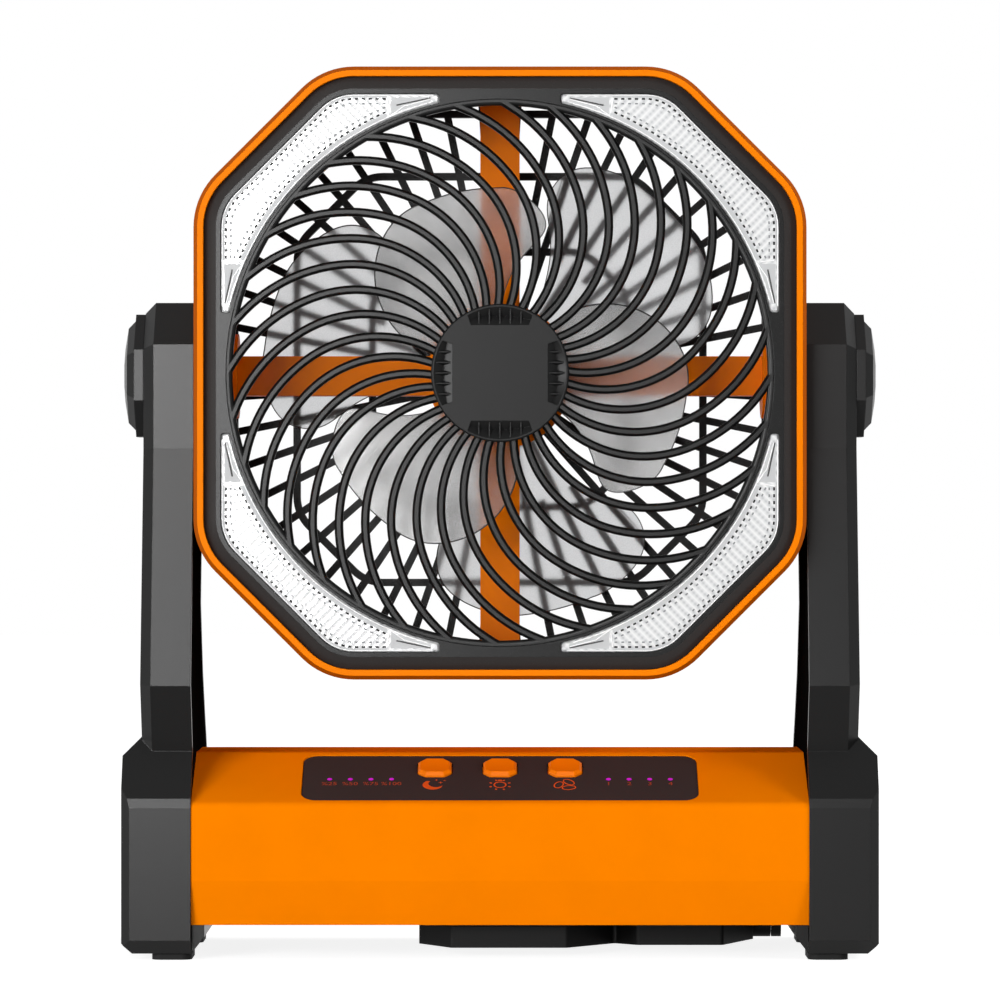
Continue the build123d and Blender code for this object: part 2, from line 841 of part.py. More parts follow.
with BuildPart() as tilt_washers:
    with BuildSketch(Plane.YZ.offset(fork_half - washer_thickness)):
        with Locations(tilt_seat):
            Circle(washer_radius)
            Circle(pin_radius + slip, mode=Mode.SUBTRACT)
    extrude(amount=washer_thickness)

with BuildPart() as tilt_nuts:
    with BuildSketch(Plane.YZ.offset(bush_end + slip)):
        with Locations(tilt_seat):
            RegularPolygon(nut_radius, 6)
            Circle(pin_radius + running, mode=Mode.SUBTRACT)
    extrude(amount=nut_thickness)


def octagon(flats):
    """Octagon with level flats, at the local origin."""
    with BuildSketch() as shape:
        RegularPolygon(flats / 2, 8, major_radius=False, rotation=22.5)
    return shape.sketch


cap_start = fork_half + arm_thickness
with BuildPart() as right_pivot_cap:
    with BuildSketch(Plane.YZ.offset(cap_start)):
        with Locations(tilt_seat):
            add(octagon(cap_flats))
    extrude(amount=cap_foot)
    with BuildSketch(Plane.YZ.offset(cap_start + cap_foot)):
        with Locations(tilt_seat):
            add(octagon(cap_flats - 2 * cap_step))
    with BuildSketch(Plane.YZ.offset(cap_start + cap_foot + cap_body)):
        with Locations(tilt_seat):
            add(octagon(cap_flats - 2 * cap_step - 2 * cap_body))
    loft()
    with BuildSketch(Plane.YZ.offset(cap_start + cap_foot + cap_body)):
        with Locations(tilt_seat):
            add(octagon(cap_flats - 2 * cap_step - 2 * cap_body))
    with BuildSketch(Plane.YZ.offset(cap_start + cap_foot + cap_body + cap_crown)):
        with Locations(tilt_seat):
            add(octagon(cap_crown_flats))
    loft()

# ---- Feet: soft pads under the pods ----
with BuildPart() as foot_pads:
    with BuildSketch():
        with Locations(
            (fork_half + foot_width / 2, base_front + foot_end + foot_length / 2),
            (fork_half + foot_width / 2, base_back - foot_end - foot_length / 2),
        ):
            RectangleRounded(foot_width, foot_length, foot_width / 4)
    extrude(amount=foot_height)

for right_piece, name in (
    (right_stand, "stand"),
    (right_stand_cover, "stand_cover"),
    (right_pivot_cap, "pivot_cap"),
):
    save(right_piece.part, f"right_{name}")
    save(mirror(right_piece.part, about=Plane.YZ), f"left_{name}")
for right_piece, name in (
    (tilt_pins, "tilt_pins"),
    (tilt_bushes, "tilt_bushes"),
    (tilt_washers, "tilt_washers"),
    (tilt_nuts, "tilt_nuts"),
    (foot_pads, "foot_pads"),
):
    with BuildPart() as pair:
        add(right_piece.part)
        mirror(about=Plane.YZ)
    save(pair.part, name)


# ---- Head shells: front ring with the rim, and rear drum with the cross ----
def head_section(inset=0.0):
    """The head's outline, a square with clipped and rounded corners, inset all round."""
    side = head_width - 2 * inset
    with BuildSketch() as section:
        Rectangle(side, side)
        chamfer(section.vertices(), head_clip - (2 - sqrt(2)) * inset)
        fillet(section.vertices(), head_round - inset)
    return section.sketch


with BuildPart() as front_housing:
    with BuildSketch(head_plane(head_front)):
        add(head_section())
    extrude(amount=-(split_y - head_front))
    rim_face = front_housing.faces().sort_by(Axis.Y)[0]
    chamfer(rim_face.edges(), rim_bevel, rim_fall, reference=rim_face)
    with BuildSketch(head_plane(head_front)):
        add(head_section(head_wall))
    extrude(amount=-(split_y - head_front), mode=Mode.SUBTRACT)
    with BuildSketch(head_plane(bezel_back + bezel_skirt)):
        add(head_section(head_wall / 2))
        add(head_section(ledge_inset), mode=Mode.SUBTRACT)
    extrude(amount=-ledge_thickness)
save(front_housing.part, "front_housing")

corner_seats = [polar(head_corner - boss_inset, 45 + 90 * k) for k in range(4)]
screw_seats = [polar(head_corner - grille_screw_inset, 45 + 90 * k) for k in range(4)]
with BuildPart() as rear_housing:
    with BuildSketch(head_plane(split_y)):
        add(head_section())
        add(head_section(head_wall), mode=Mode.SUBTRACT)
    extrude(amount=-(shell_back - split_y))
    with BuildSketch(head_plane(split_y)):
        add(head_section(head_wall + snug))
        add(head_section(head_wall + snug + bezel_skirt_wall), mode=Mode.SUBTRACT)
    extrude(amount=lap)
    with BuildSketch(head_plane(split_y)):
        add(head_section(head_wall / 2))
        add(head_section(head_wall + snug + bezel_skirt_wall), mode=Mode.SUBTRACT)
    extrude(amount=-lap)
    # The cross: four struts, and the motor carrier at the middle.
    with BuildSketch(head_plane(cross_front)):
        Rectangle(head_width - head_wall, strut_width)
        Rectangle(strut_width, head_width - head_wall)
        Circle(carrier_radius)
        Circle(wire_bore, mode=Mode.SUBTRACT)
    extrude(amount=-strut_depth)
    # Bosses at the tilt pins and screw towers in the corners.
    for side in (-1, 1):
        with BuildSketch(Plane.YZ.offset(side * (head_half - head_wall / 2))):
            with Locations(tilt_seat):
                Circle(pivot_boss_radius)
        extrude(amount=-side * (pivot_boss + head_wall / 2))
    with BuildSketch(head_plane(cross_back)):
        with Locations(corner_seats):
            Circle(boss_radius)
    extrude(amount=-(shell_back - cross_back))
    with BuildSketch(head_plane(cross_back)):
        with Locations(screw_seats):
            Circle(grille_screw_radius)
    extrude(amount=-(shell_back - cross_back), mode=Mode.SUBTRACT)
    for side in (-1, 1):
        with BuildSketch(Plane.YZ.offset(side * pin_start)):
            with Locations(tilt_seat):
                Circle(pin_radius + running)
        extrude(amount=side * head_half, mode=Mode.SUBTRACT)
save(rear_housing.part, "rear_housing")


# ---- Corner lamps: lens, reflector and LED strip in each corner of the bezel ----
def lamp_window(grow=0.0, inner=lens_inner_radius):
    """The four lamp windows: head outline outside, a circle inside, rounded tips."""
    gap = lens_tip_gap - grow
    tip_width = head_width / 2 - lens_inset + grow - sqrt(inner**2 - gap**2)
    with BuildSketch() as window:
        add(head_section(lens_inset - grow))
        Circle(inner, mode=Mode.SUBTRACT)
        Rectangle(2 * gap, head_width, mode=Mode.SUBTRACT)
        Rectangle(head_width, 2 * gap, mode=Mode.SUBTRACT)
        tips = [v for v in window.vertices() if min(abs(v.X), abs(v.Y)) < gap + snug]
        fillet(tips, min(lens_tip_round, tip_width / 3))
    return window.sketch


lens_front = bezel_front + lens_sink
flange_back = bezel_back + lens_flange
with BuildPart() as lenses:
    with BuildSketch(head_plane(bezel_back)):
        add(lamp_window(-snug, lens_inner_radius + snug))
    extrude(amount=bezel_back - lens_front)
    fronts = lenses.faces().group_by(Axis.Y)[0]
    chamfer(fronts.edges(), lens_edge)
    with BuildSketch(head_plane(bezel_back)):
        add(lamp_window(lens_flange_reach, lens_inner_radius + snug))
    extrude(amount=-lens_flange)
with BuildPart() as reflectors:
    with BuildSketch(head_plane(flange_back)):
        add(lamp_window(lens_flange_reach, lens_inner_radius + snug))
    extrude(amount=-reflector_depth)
    with BuildSketch(head_plane(flange_back)):
        add(
            lamp_window(
                lens_flange_reach - reflector_wall, lens_inner_radius + snug + reflector_wall
            )
        )
    extrude(amount=-(reflector_depth - reflector_wall), mode=Mode.SUBTRACT)
board_back = flange_back + reflector_depth - reflector_wall
with BuildPart() as led_strips:
    with BuildSketch(head_plane(board_back)):
        add(head_section(lens_inset + 2 * reflector_wall))
        Circle(lens_inner_radius + led_margin, mode=Mode.SUBTRACT)
        Rectangle(2 * led_gap, head_width, mode=Mode.SUBTRACT)
        Rectangle(head_width, 2 * led_gap, mode=Mode.SUBTRACT)
    extrude(amount=led_board)
    with BuildSketch(head_plane(board_back - led_board)):
        for corner in range(4):
            for k in range(led_count):
                angle = 45 + 90 * corner + led_step * (k - (led_count - 1) / 2)
                place = polar(lens_inner_radius + led_inset, angle)
                with Locations(Location((*place, 0), (0, 0, angle))):
                    Rectangle(led_size, led_size)
    extrude(amount=led_height)
save(led_strips.part, "led_strips")
for group, name in ((lenses, "lens"), (reflectors, "reflector")):
    for solid in group.part.solids():
        middle = solid.center()
        height = "upper" if middle.Z > tilt_height else "lower"
        side = "right" if middle.X > 0 else "left"
        save(solid, f"{height}_{side}_{name}")

# ---- Front bezel: octagonal plate with the lamp windows and the seat of the guard ----
with BuildPart() as front_bezel:
    with BuildSketch(head_plane(bezel_front)):
        add(head_section(head_wall + snug))
    extrude(amount=-bezel_plate)
    bezel_face = front_bezel.faces().sort_by(Axis.Y)[0]
    chamfer(bezel_face.edges(), bezel_slope_width, bezel_slope_fall, reference=bezel_face)
    with BuildSketch(head_plane(bezel_front)):
        Circle(guard_bore)
        add(lamp_window())
    extrude(amount=-bezel_plate, mode=Mode.SUBTRACT)
    with BuildSketch(head_plane(bezel_back)):
        add(head_section(head_wall + snug))
        add(head_section(head_wall + snug + bezel_skirt_wall), mode=Mode.SUBTRACT)
    extrude(amount=-bezel_skirt)
    with BuildSketch(head_plane(bezel_front + guard_depth)):
        Circle(lens_inner_radius - snug)
        Circle(guard_bore - guard_seat_reach, mode=Mode.SUBTRACT)
    extrude(amount=-guard_seat)
save(front_bezel.part, "front_bezel")

# ---- Front guard: swirled spokes between a hub ring and an outer ring ----
guard_back = bezel_front + guard_depth
spoke_root = polar(guard_hub_radius - spoke_width / 2, spoke_root_angle)
spoke_tip = polar(guard_ring_inner + running, spoke_tip_angle)
with BuildPart() as spoke:
    with BuildLine(head_plane(guard_back)) as path:
        inner_bend = ThreePointArc(
            spoke_root,
            polar(spoke_mid_radius, spoke_mid_angle),
            polar(spoke_bend_radius, spoke_bend_angle),
        )
        outer_bend = TangentArc(inner_bend @ 1, spoke_tip, tangent=inner_bend % 1)
        Line(outer_bend @ 1, outer_bend @ 1 + 2 * spoke_width * (outer_bend % 1))
    start = inner_bend @ 0
    along = inner_bend % 0
    with BuildSketch(Plane(origin=start, x_dir=along.cross(Vector(0, 1, 0)), z_dir=along)):
        with BuildLine():
            Polyline(
                (-spoke_width / 2, 0),
                (spoke_width / 2, 0),
                (spoke_width / 2, spoke_side),
                (spoke_crown / 2, guard_depth),
                (-spoke_crown / 2, guard_depth),
                (-spoke_width / 2, spoke_side),
                close=True,
            )
        make_face()
    sweep(path=path.line)
fan_axis = Axis((0, 0, tilt_height), (0, 1, 0))
with BuildPart() as front_guard:
    with BuildSketch(head_plane(guard_back)):
        Circle(guard_ring_outer)
        Circle(guard_ring_inner, mode=Mode.SUBTRACT)
    extrude(amount=guard_depth)
    ring_bore = front_guard.edges().filter_by(GeomType.CIRCLE).group_by(SortBy.RADIUS)[0]
    fillet(ring_bore.sort_by(Axis.Y)[0], guard_ring_round)
    with BuildSketch(head_plane(guard_back)):
        Circle(guard_hub_radius)
        Circle(guard_hub_bore, mode=Mode.SUBTRACT)
    extrude(amount=guard_depth)
    add([spoke.part.rotate(fan_axis, 360 / guard_spokes * k) for k in range(guard_spokes)])
    with BuildSketch(head_plane(guard_back)):
        Circle(guard_ring_outer)
    extrude(amount=guard_depth, mode=Mode.INTERSECT)
    with BuildSketch(head_plane(bezel_front)):
        Circle(hub_plug_radius + snug)
    extrude(amount=-hub_cap_sink, mode=Mode.SUBTRACT)
save(front_guard.part, "front_guard")

# ---- Hub cap: a flanged disc with four V grooves, each crossed by a row of roof-shaped ribs ----
# It is drawn with its face at z = 0, looking towards the front.
groove_middle = (hub_flat + groove_rim) / 2
rib_height = groove_depth - hub_rib_drop
rib_slope = degrees(atan2(rib_height, (hub_rib - hub_rib_crest) / 2))
with BuildPart() as hub_groove:
    with BuildSketch(Plane.XZ):
        with BuildLine():
            Polyline(
                (hub_flat, 0),
                (groove_rim, 0),
                (groove_middle, -groove_depth),
                close=True,
            )
        make_face()
    extrude(amount=groove_rim, both=True)
    with BuildSketch():
        with BuildLine():
            Polyline(
                (hub_flat, -groove_half),
                (hub_flat, groove_half),
                (groove_rim, groove_half + groove_flare),
                (groove_rim, -groove_half - groove_flare),
                close=True,
            )
        make_face()
    extrude(amount=-groove_depth, mode=Mode.INTERSECT)
    with BuildSketch(Plane.YZ.offset(hub_flat)):
        with Locations((0, -groove_depth)):
            with GridLocations(hub_rib_pitch, 1, hub_ribs, 1):
                Trapezoid(hub_rib, rib_height, rib_slope, align=(Align.CENTER, Align.MIN))
    extrude(amount=groove_rim - hub_flat, mode=Mode.SUBTRACT)
with BuildPart() as groove_wall:
    with BuildSketch(Plane.XZ):
        with BuildLine():
            Polyline(
                (0, 0),
                (groove_rim, 0),
                (groove_middle, -groove_depth),
                (0, -groove_depth),
                close=True,
            )
        make_face()
    revolve(axis=Axis.Z)
with BuildPart() as hub_cap:
    Cylinder(hub_cap_radius, bezel_sink, align=(Align.CENTER, Align.CENTER, Align.MAX))
    chamfer(hub_cap.edges().sort_by(Axis.Z)[-1], hub_cap_bevel)
    with BuildSketch():
        Circle(hub_plug_radius)
    extrude(amount=-bezel_sink - hub_cap_sink)
    grooves = [(hub_groove.part & groove_wall.part).rotate(Axis.Z, 90 * k) for k in range(4)]
    add(grooves, mode=Mode.SUBTRACT)
save(hub_cap.part.moved(head_plane(head_front).location), "hub_cap")

# ---- Motors and rotors, one each side of the cross ----
# Each works in a frame on its side of the cross, with z away from the cross.
front_seat = Plane(origin=(0, cross_front, tilt_height), x_dir=(1, 0, 0), z_dir=(0, -1, 0))
rear_seat = Plane(origin=(0, cross_back, tilt_height), x_dir=(-1, 0, 0), z_dir=(0, 1, 0))
hub_core = hub_radius - hub_wall - snug  # inside of the blades' hub ring


def front_lobe():
    """Plan of a front blade: blunt leading tip at angle 0, long convex edge behind it."""
    with BuildSketch() as lobe:
        with BuildLine():
            tip = front_blade_radius
            rim = CenterArc((0, 0), tip, 17.5, 23.8)
            Spline(
                polar(hub_core, 14.0),
                polar(0.48 * tip, 12.9),
                polar(0.68 * tip, 4.5),
                polar(0.84 * tip, 0),
                polar(0.94 * tip, 6.0),
                rim @ 0,
            )
            convex = Spline(
                rim @ 1,
                polar(0.966 * tip, 56.0),
                polar(0.804 * tip, 72.2),
                polar(0.536 * tip, 87.0),
                polar(hub_core, 89.0),
            )
            Line(convex @ 1, polar(hub_core, 14.0))
        make_face()
    return lobe.sketch


def rear_lobe():
    """Plan of a rear blade, larger and narrower at its root."""
    with BuildSketch() as lobe:
        with BuildLine():
            tip = rear_blade_radius
            rim = CenterArc((0, 0), tip, 22.0, 17.6)
            Spline(
                polar(hub_core, 13.0),
                polar(0.42 * tip, 11.0),
                polar(0.65 * tip, 4.0),
                polar(0.79 * tip, 0),
                polar(0.922 * tip, 3.5),
                polar(0.984 * tip, 11.4),
                rim @ 0,
            )
            convex = Spline(
                rim @ 1,
                polar(0.973 * tip, 50.0),
                polar(0.872 * tip, 61.8),
                polar(0.712 * tip, 65.0),
                polar(0.45 * tip, 42.0),
                polar(hub_core, 30.0),
            )
            Line(convex @ 1, polar(hub_core, 13.0))
        make_face()
    return lobe.sketch


def blades(lobe, low, height, span, climb, start):
    """Three blades: a helical slab cut to the lobe, which climbs or falls over its span."""
    thickness_angle = degrees(blade_skin * radians(span) / height)
    with BuildSketch() as root:
        with BuildLine():
            arc = CenterArc((0, 0), head_half, 0, thickness_angle)
            Line((0, 0), arc @ 0)
            Line(arc @ 1, (0, 0))
        make_face()
    slab = Solid.extrude_linear_with_rotation(
        root.face(), (0, 0, 0), (0, 0, height), climb * span
    )
    begin = 0 if climb > 0 else span
    with BuildPart() as blade:
        with BuildSketch():
            add(lobe)
        extrude(amount=height)
        add(slab.rotate(Axis.Z, begin - thickness_angle / 2), mode=Mode.INTERSECT)
    return [
        blade.part.rotate(Axis.Z, start + 360 / blade_count * k).moved(Location((0, 0, low)))
        for k in range(blade_count)
    ]


front_fan = blades(
    front_lobe(), front_blade_low, front_blade_height, front_blade_span, 1, front_lobe_start
)
rear_fan = blades(
    rear_lobe(), rear_blade_low, rear_blade_height, rear_blade_span, -1, rear_lobe_start
)
tube_top = can_top - can_plate - slip
hub_top = can_top + hub_wall + snug
for end, seat, fan in (("front", front_seat, front_fan), ("rear", rear_seat, rear_fan)):
    with BuildPart() as motor_base:
        with BuildSketch(seat):
            Circle(motor_plate_radius)
            Circle(wire_bore, mode=Mode.SUBTRACT)
            with PolarLocations(motor_screw_circle, 3, start_angle=90):
                Circle(motor_screw_radius + snug, mode=Mode.SUBTRACT)
        extrude(amount=motor_plate)
        with BuildSketch(seat):
            Circle(bearing_tube_radius)
            Circle(bearing_radius + running, mode=Mode.SUBTRACT)
        extrude(amount=tube_top)
        with BuildSketch(seat):
            Circle(bearing_radius + running)
            Circle(shaft_radius + slip, mode=Mode.SUBTRACT)
        extrude(amount=motor_plate)
    save(motor_base.part, f"{end}_motor_base")

    with BuildPart() as bearings:
        for level in (motor_plate, tube_top - bearing_length):
            with BuildSketch(seat.offset(level)):
                Circle(bearing_radius)
                Circle(shaft_radius + running, mode=Mode.SUBTRACT)
            extrude(amount=bearing_length)
    save(bearings.part, f"{end}_bearings")

    with BuildPart() as stator:
        with BuildSketch(seat.offset(stator_low)):
            Circle(stator_radius)
            Circle(bearing_tube_radius + running, mode=Mode.SUBTRACT)
            with PolarLocations(stator_radius, stator_teeth):
                Rectangle(stator_radius - bearing_tube_radius, stator_slot, mode=Mode.SUBTRACT)
        extrude(amount=stator_height)
    save(stator.part, f"{end}_stator")

    with BuildPart() as rotor_can:
        with BuildSketch(seat.offset(can_low)):
            Circle(can_radius)
            Circle(can_radius - can_wall, mode=Mode.SUBTRACT)
        extrude(amount=can_top - can_low)
        with BuildSketch(seat.offset(can_top - can_plate)):
            Circle(can_radius)
        extrude(amount=can_plate)
        with BuildSketch(seat.offset(motor_plate + snug)):
            Circle(shaft_radius)
        extrude(amount=can_top - motor_plate - can_plate)
    save(rotor_can.part, f"{end}_rotor_can")

    with BuildPart() as blade_set:
        with BuildSketch(seat.offset(hub_low)):
            Circle(hub_radius)
        extrude(amount=hub_top - hub_low)
        nose = blade_set.faces().sort_by(Axis(seat.origin, seat.z_dir))[-1]
        fillet(nose.edges(), hub_top_round)
        add([blade.moved(seat.location) for blade in fan])
        with BuildSketch(seat.offset(hub_low)):
            Circle(can_radius + running)
        extrude(amount=can_top + running - hub_low, mode=Mode.SUBTRACT)
        with BuildSketch(seat):
            Circle(can_radius + running)
        extrude(amount=hub_low, mode=Mode.SUBTRACT)
    save(blade_set.part, f"{end}_blades")

with BuildPart() as motor_screws:
    for seat in (front_seat, rear_seat):
        with BuildSketch(seat.offset(motor_plate)):
            with PolarLocations(motor_screw_circle, 3, start_angle=90):
                Circle(motor_screw_head)
        extrude(amount=motor_screw_rise)
        with BuildSketch(seat):
            with PolarLocations(motor_screw_circle, 3, start_angle=90):
                Circle(motor_screw_radius)
        extrude(amount=motor_plate)
save(motor_screws.part, "motor_screws")


# ---- Rear grille: radial bars crossed by three rounded octagons ----
def lattice_ring(flat, corner, grow):
    """Rounded octagon of the lattice, grown or shrunk by half a bar."""
    side = 2 * (flat + grow)
    clip = side - sqrt(2) * (corner + grow)
    with BuildSketch() as ring:
        Rectangle(side, side)
        chamfer(ring.vertices(), clip)
        fillet(ring.vertices(), min(lattice_round + grow, clip))
    return ring.sketch


bar_reach = head_corner - head_wall
with BuildPart() as rear_grille:
    with BuildSketch(head_plane(head_back)):
        add(head_section())
        add(head_section(lattice_rim), mode=Mode.SUBTRACT)
    extrude(amount=grille_depth)
    chamfer(rear_grille.faces().sort_by(Axis.Y)[-1].outer_wire().edges(), rim_bevel)
    with BuildSketch(head_plane(head_back)):
        with Locations(screw_seats):
            Circle(grille_pad_radius)
        add(head_section(lattice_rim / 2), mode=Mode.INTERSECT)
    extrude(amount=grille_depth)
    with BuildSketch(head_plane(head_back)):
        Circle(lattice_hub)
        for flat, corner in (
            (lattice_inner_flat, lattice_inner_corner),
            (lattice_outer_flat, lattice_outer_corner),
        ):
            with BuildSketch(mode=Mode.PRIVATE) as band:
                add(lattice_ring(flat, corner, lattice_bar / 2))
                add(lattice_ring(flat, corner, -lattice_bar / 2), mode=Mode.SUBTRACT)
            add(band.sketch)
        with BuildSketch(mode=Mode.PRIVATE) as edge_band:
            add(head_section(lattice_edge))
            add(head_section(lattice_edge + lattice_bar), mode=Mode.SUBTRACT)
        add(edge_band.sketch)
        for k in range(lattice_spokes):
            angle = 360 / lattice_spokes * (k + 0.5)
            inner = 0 if k % 2 else lattice_inner_flat
            with Locations(Location((*polar((inner + bar_reach) / 2, angle), 0), (0, 0, angle))):
                Rectangle(bar_reach - inner, lattice_bar)
        add(head_section(lattice_rim / 2), mode=Mode.INTERSECT)
    extrude(amount=lattice_depth)
    with Locations(
        [
            Location((x, head_back, tilt_height + z), (-90, 0, 0))
            for x, z in screw_seats
        ]
    ):
        CounterBoreHole(
            grille_screw_radius + snug,
            screw_head_radius + snug,
            screw_head_height,
            depth=grille_depth,
        )
save(rear_grille.part, "rear_grille")

with BuildPart() as grille_screws:
    with BuildSketch(head_plane(head_back)):
        with Locations(screw_seats):
            Circle(screw_head_radius)
    extrude(amount=screw_head_height)
    with BuildSketch(head_plane(head_back - screw_head_height)):
        with Locations(screw_seats):
            Circle(grille_screw_radius - running)
    extrude(amount=grille_depth)
save(grille_screws.part, "grille_screws")
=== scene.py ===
from math import acos, asin, cos, hypot, radians, sin, sqrt, tan, tau

import bmesh
import bpy
from mathutils import Matrix, Vector


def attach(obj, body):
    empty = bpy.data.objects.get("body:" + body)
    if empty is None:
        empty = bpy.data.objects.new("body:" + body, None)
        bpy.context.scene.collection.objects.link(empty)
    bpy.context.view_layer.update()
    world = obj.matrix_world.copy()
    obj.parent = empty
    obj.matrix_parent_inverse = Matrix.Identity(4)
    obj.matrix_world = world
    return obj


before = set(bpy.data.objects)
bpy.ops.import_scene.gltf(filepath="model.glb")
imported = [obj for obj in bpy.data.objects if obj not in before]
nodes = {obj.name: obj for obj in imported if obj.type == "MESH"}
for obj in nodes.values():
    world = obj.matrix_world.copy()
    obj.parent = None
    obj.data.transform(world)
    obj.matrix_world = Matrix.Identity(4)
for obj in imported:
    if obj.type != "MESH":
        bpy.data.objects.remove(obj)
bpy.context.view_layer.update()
scene = bpy.context.scene

# ---- Camera, floor and light ----
# A level view of the front. A broad lamp from the left lights the front, a weak one fills the
# right, and one lights the back. Three softboxes show only in the gloss of the mouldings. The
# floor is matt.
eye_distance, eye_height, view_lens = 1.731, 0.1495, 187.3
camera_data = bpy.data.cameras.new("camera")
camera_data.lens = view_lens
camera_data.sensor_width = 36.0
camera = bpy.data.objects.new("camera", camera_data)
camera.location = (0.0, -eye_distance, eye_height)
camera.rotation_euler = (radians(90), 0, 0)
scene.collection.objects.link(camera)
scene.camera = camera
scene.view_settings.view_transform = "Standard"


def add_node(tree, kind, inputs=None, **settings):
    """Adds a node with its settings; each input takes a value, or a socket to link from."""
    node = tree.nodes.new(kind)
    for name, value in settings.items():
        setattr(node, name, value)
    for key, value in (inputs or {}).items():
        if isinstance(value, bpy.types.NodeSocket):
            tree.links.new(value, node.inputs[key])
        else:
            node.inputs[key].default_value = value
    return node


def seen_directly(tree):
    """1 for camera, glossy and transmission rays, which are to find a white background."""
    path = add_node(tree, "ShaderNodeLightPath")
    mirrored = add_node(
        tree,
        "ShaderNodeMath",
        {0: path.outputs["Is Camera Ray"], 1: path.outputs["Is Glossy Ray"]},
        operation="MAXIMUM",
    )
    return add_node(
        tree,
        "ShaderNodeMath",
        {0: mirrored.outputs[0], 1: path.outputs["Is Transmission Ray"]},
        operation="MAXIMUM",
    ).outputs[0]


sky_light = 0.32  # how strongly the background lights the fan
floor_glow = 0.86  # how white the floor looks away from the fan
world = bpy.data.worlds.new("studio")
world.use_nodes = True
scene.world = world
sky = world.node_tree.nodes["Background"]
sky.inputs["Color"].default_value = (1, 1, 1, 1)
level = add_node(
    world.node_tree,
    "ShaderNodeMapRange",
    {"Value": seen_directly(world.node_tree), "To Min": sky_light, "To Max": 1.0},
)
world.node_tree.links.new(level.outputs[0], sky.inputs["Strength"])

floor_mesh = bpy.data.meshes.new("floor")
floor_half = 4.0
floor_mesh.from_pydata(
    [(x, y, 0) for x, y in ((-1, -1), (1, -1), (1, 1), (-1, 1))], [], [(0, 1, 2, 3)]
)
floor_mesh.transform(Matrix.Scale(floor_half, 4))
floor = bpy.data.objects.new("floor", floor_mesh)
scene.collection.objects.link(floor)
floor_paint = bpy.data.materials.new("matt_floor")
floor_paint.use_nodes = True
paint = floor_paint.node_tree
paint.nodes.remove(paint.nodes["Principled BSDF"])
matt = add_node(paint, "ShaderNodeBsdfDiffuse", {"Color": (0.5, 0.5, 0.5, 1)})
glow = add_node(paint, "ShaderNodeEmission", {"Color": (1, 1, 1, 1)})
glow_level = add_node(
    paint,
    "ShaderNodeMapRange",
    {"Value": seen_directly(paint), "To Min": 0.0, "To Max": floor_glow},
)
paint.links.new(glow_level.outputs[0], glow.inputs["Strength"])
both = add_node(paint, "ShaderNodeAddShader", {0: matt.outputs[0], 1: glow.outputs[0]})
paint.links.new(both.outputs[0], paint.nodes["Material Output"].inputs["Surface"])
floor_mesh.materials.append(floor_paint)

lamps = (
    # name, place, size, power, aimed at, lights diffuse, shows in gloss
    ("softbox", (-0.36, -1.76, 0.31), (0.44, 0.5), 33.0, (-0.36, 0.0, 0.31), False, True),
    ("side_softbox", (-1.63, -0.77, 0.19), (0.4, 0.4), 36.0, (0.0, 0.0, 0.19), False, True),
    ("top_softbox", (-0.35, -1.6, 0.95), (0.55, 0.35), 19.0, (0.0, 0.0, 0.1), False, True),
    ("key", (-1.3, -2.2, 0.4), (1.1, 1.1), 51.0, (0.0, 0.0, 0.15), True, False),
    ("back", (1.7, 1.2, 1.5), (1.0, 1.0), 20.0, (0.0, 0.0, 0.15), True, False),
    ("fill", (1.8, -1.2, 0.5), (0.8, 0.8), 16.0, (0.0, 0.0, 0.15), True, False),
)
for name, place, size, power, aim, diffuse, gloss in lamps:
    lamp_data = bpy.data.lights.new(name, "AREA")
    lamp_data.shape = "RECTANGLE"
    lamp_data.size, lamp_data.size_y = size
    lamp_data.energy = power
    lamp = bpy.data.objects.new(name, lamp_data)
    lamp.location = place
    lamp.rotation_euler = (Vector(aim) - Vector(place)).to_track_quat("-Z", "Y").to_euler()
    lamp.visible_camera = False
    lamp.visible_diffuse = diffuse
    lamp.visible_glossy = gloss
    lamp.visible_transmission = gloss
    scene.collection.objects.link(lamp)


# ---- Base housing ----
# The orange shell that holds the battery, with a sloped face for the controls. ABS, injection
# moulded in one piece in a finely grained mould.
def linear(colour):
    """sRGB hex to the linear colour that a shader takes."""
    channels = [int(colour[i : i + 2], 16) / 255 for i in (1, 3, 5)]
    bent = [c / 12.92 if c <= 0.04045 else ((c + 0.055) / 1.055) ** 2.4 for c in channels]
    return (*bent, 1.0)


def new_finish(name):
    """A new material, its node tree and shader, and the coordinates its patterns follow."""
    material = bpy.data.materials.new(name)
    material.use_nodes = True
    tree = material.node_tree
    coords = add_node(tree, "ShaderNodeTexCoord").outputs
    return material, tree, tree.nodes["Principled BSDF"], coords


melt_flow = 22  # mm, width of the slow drifts in colour


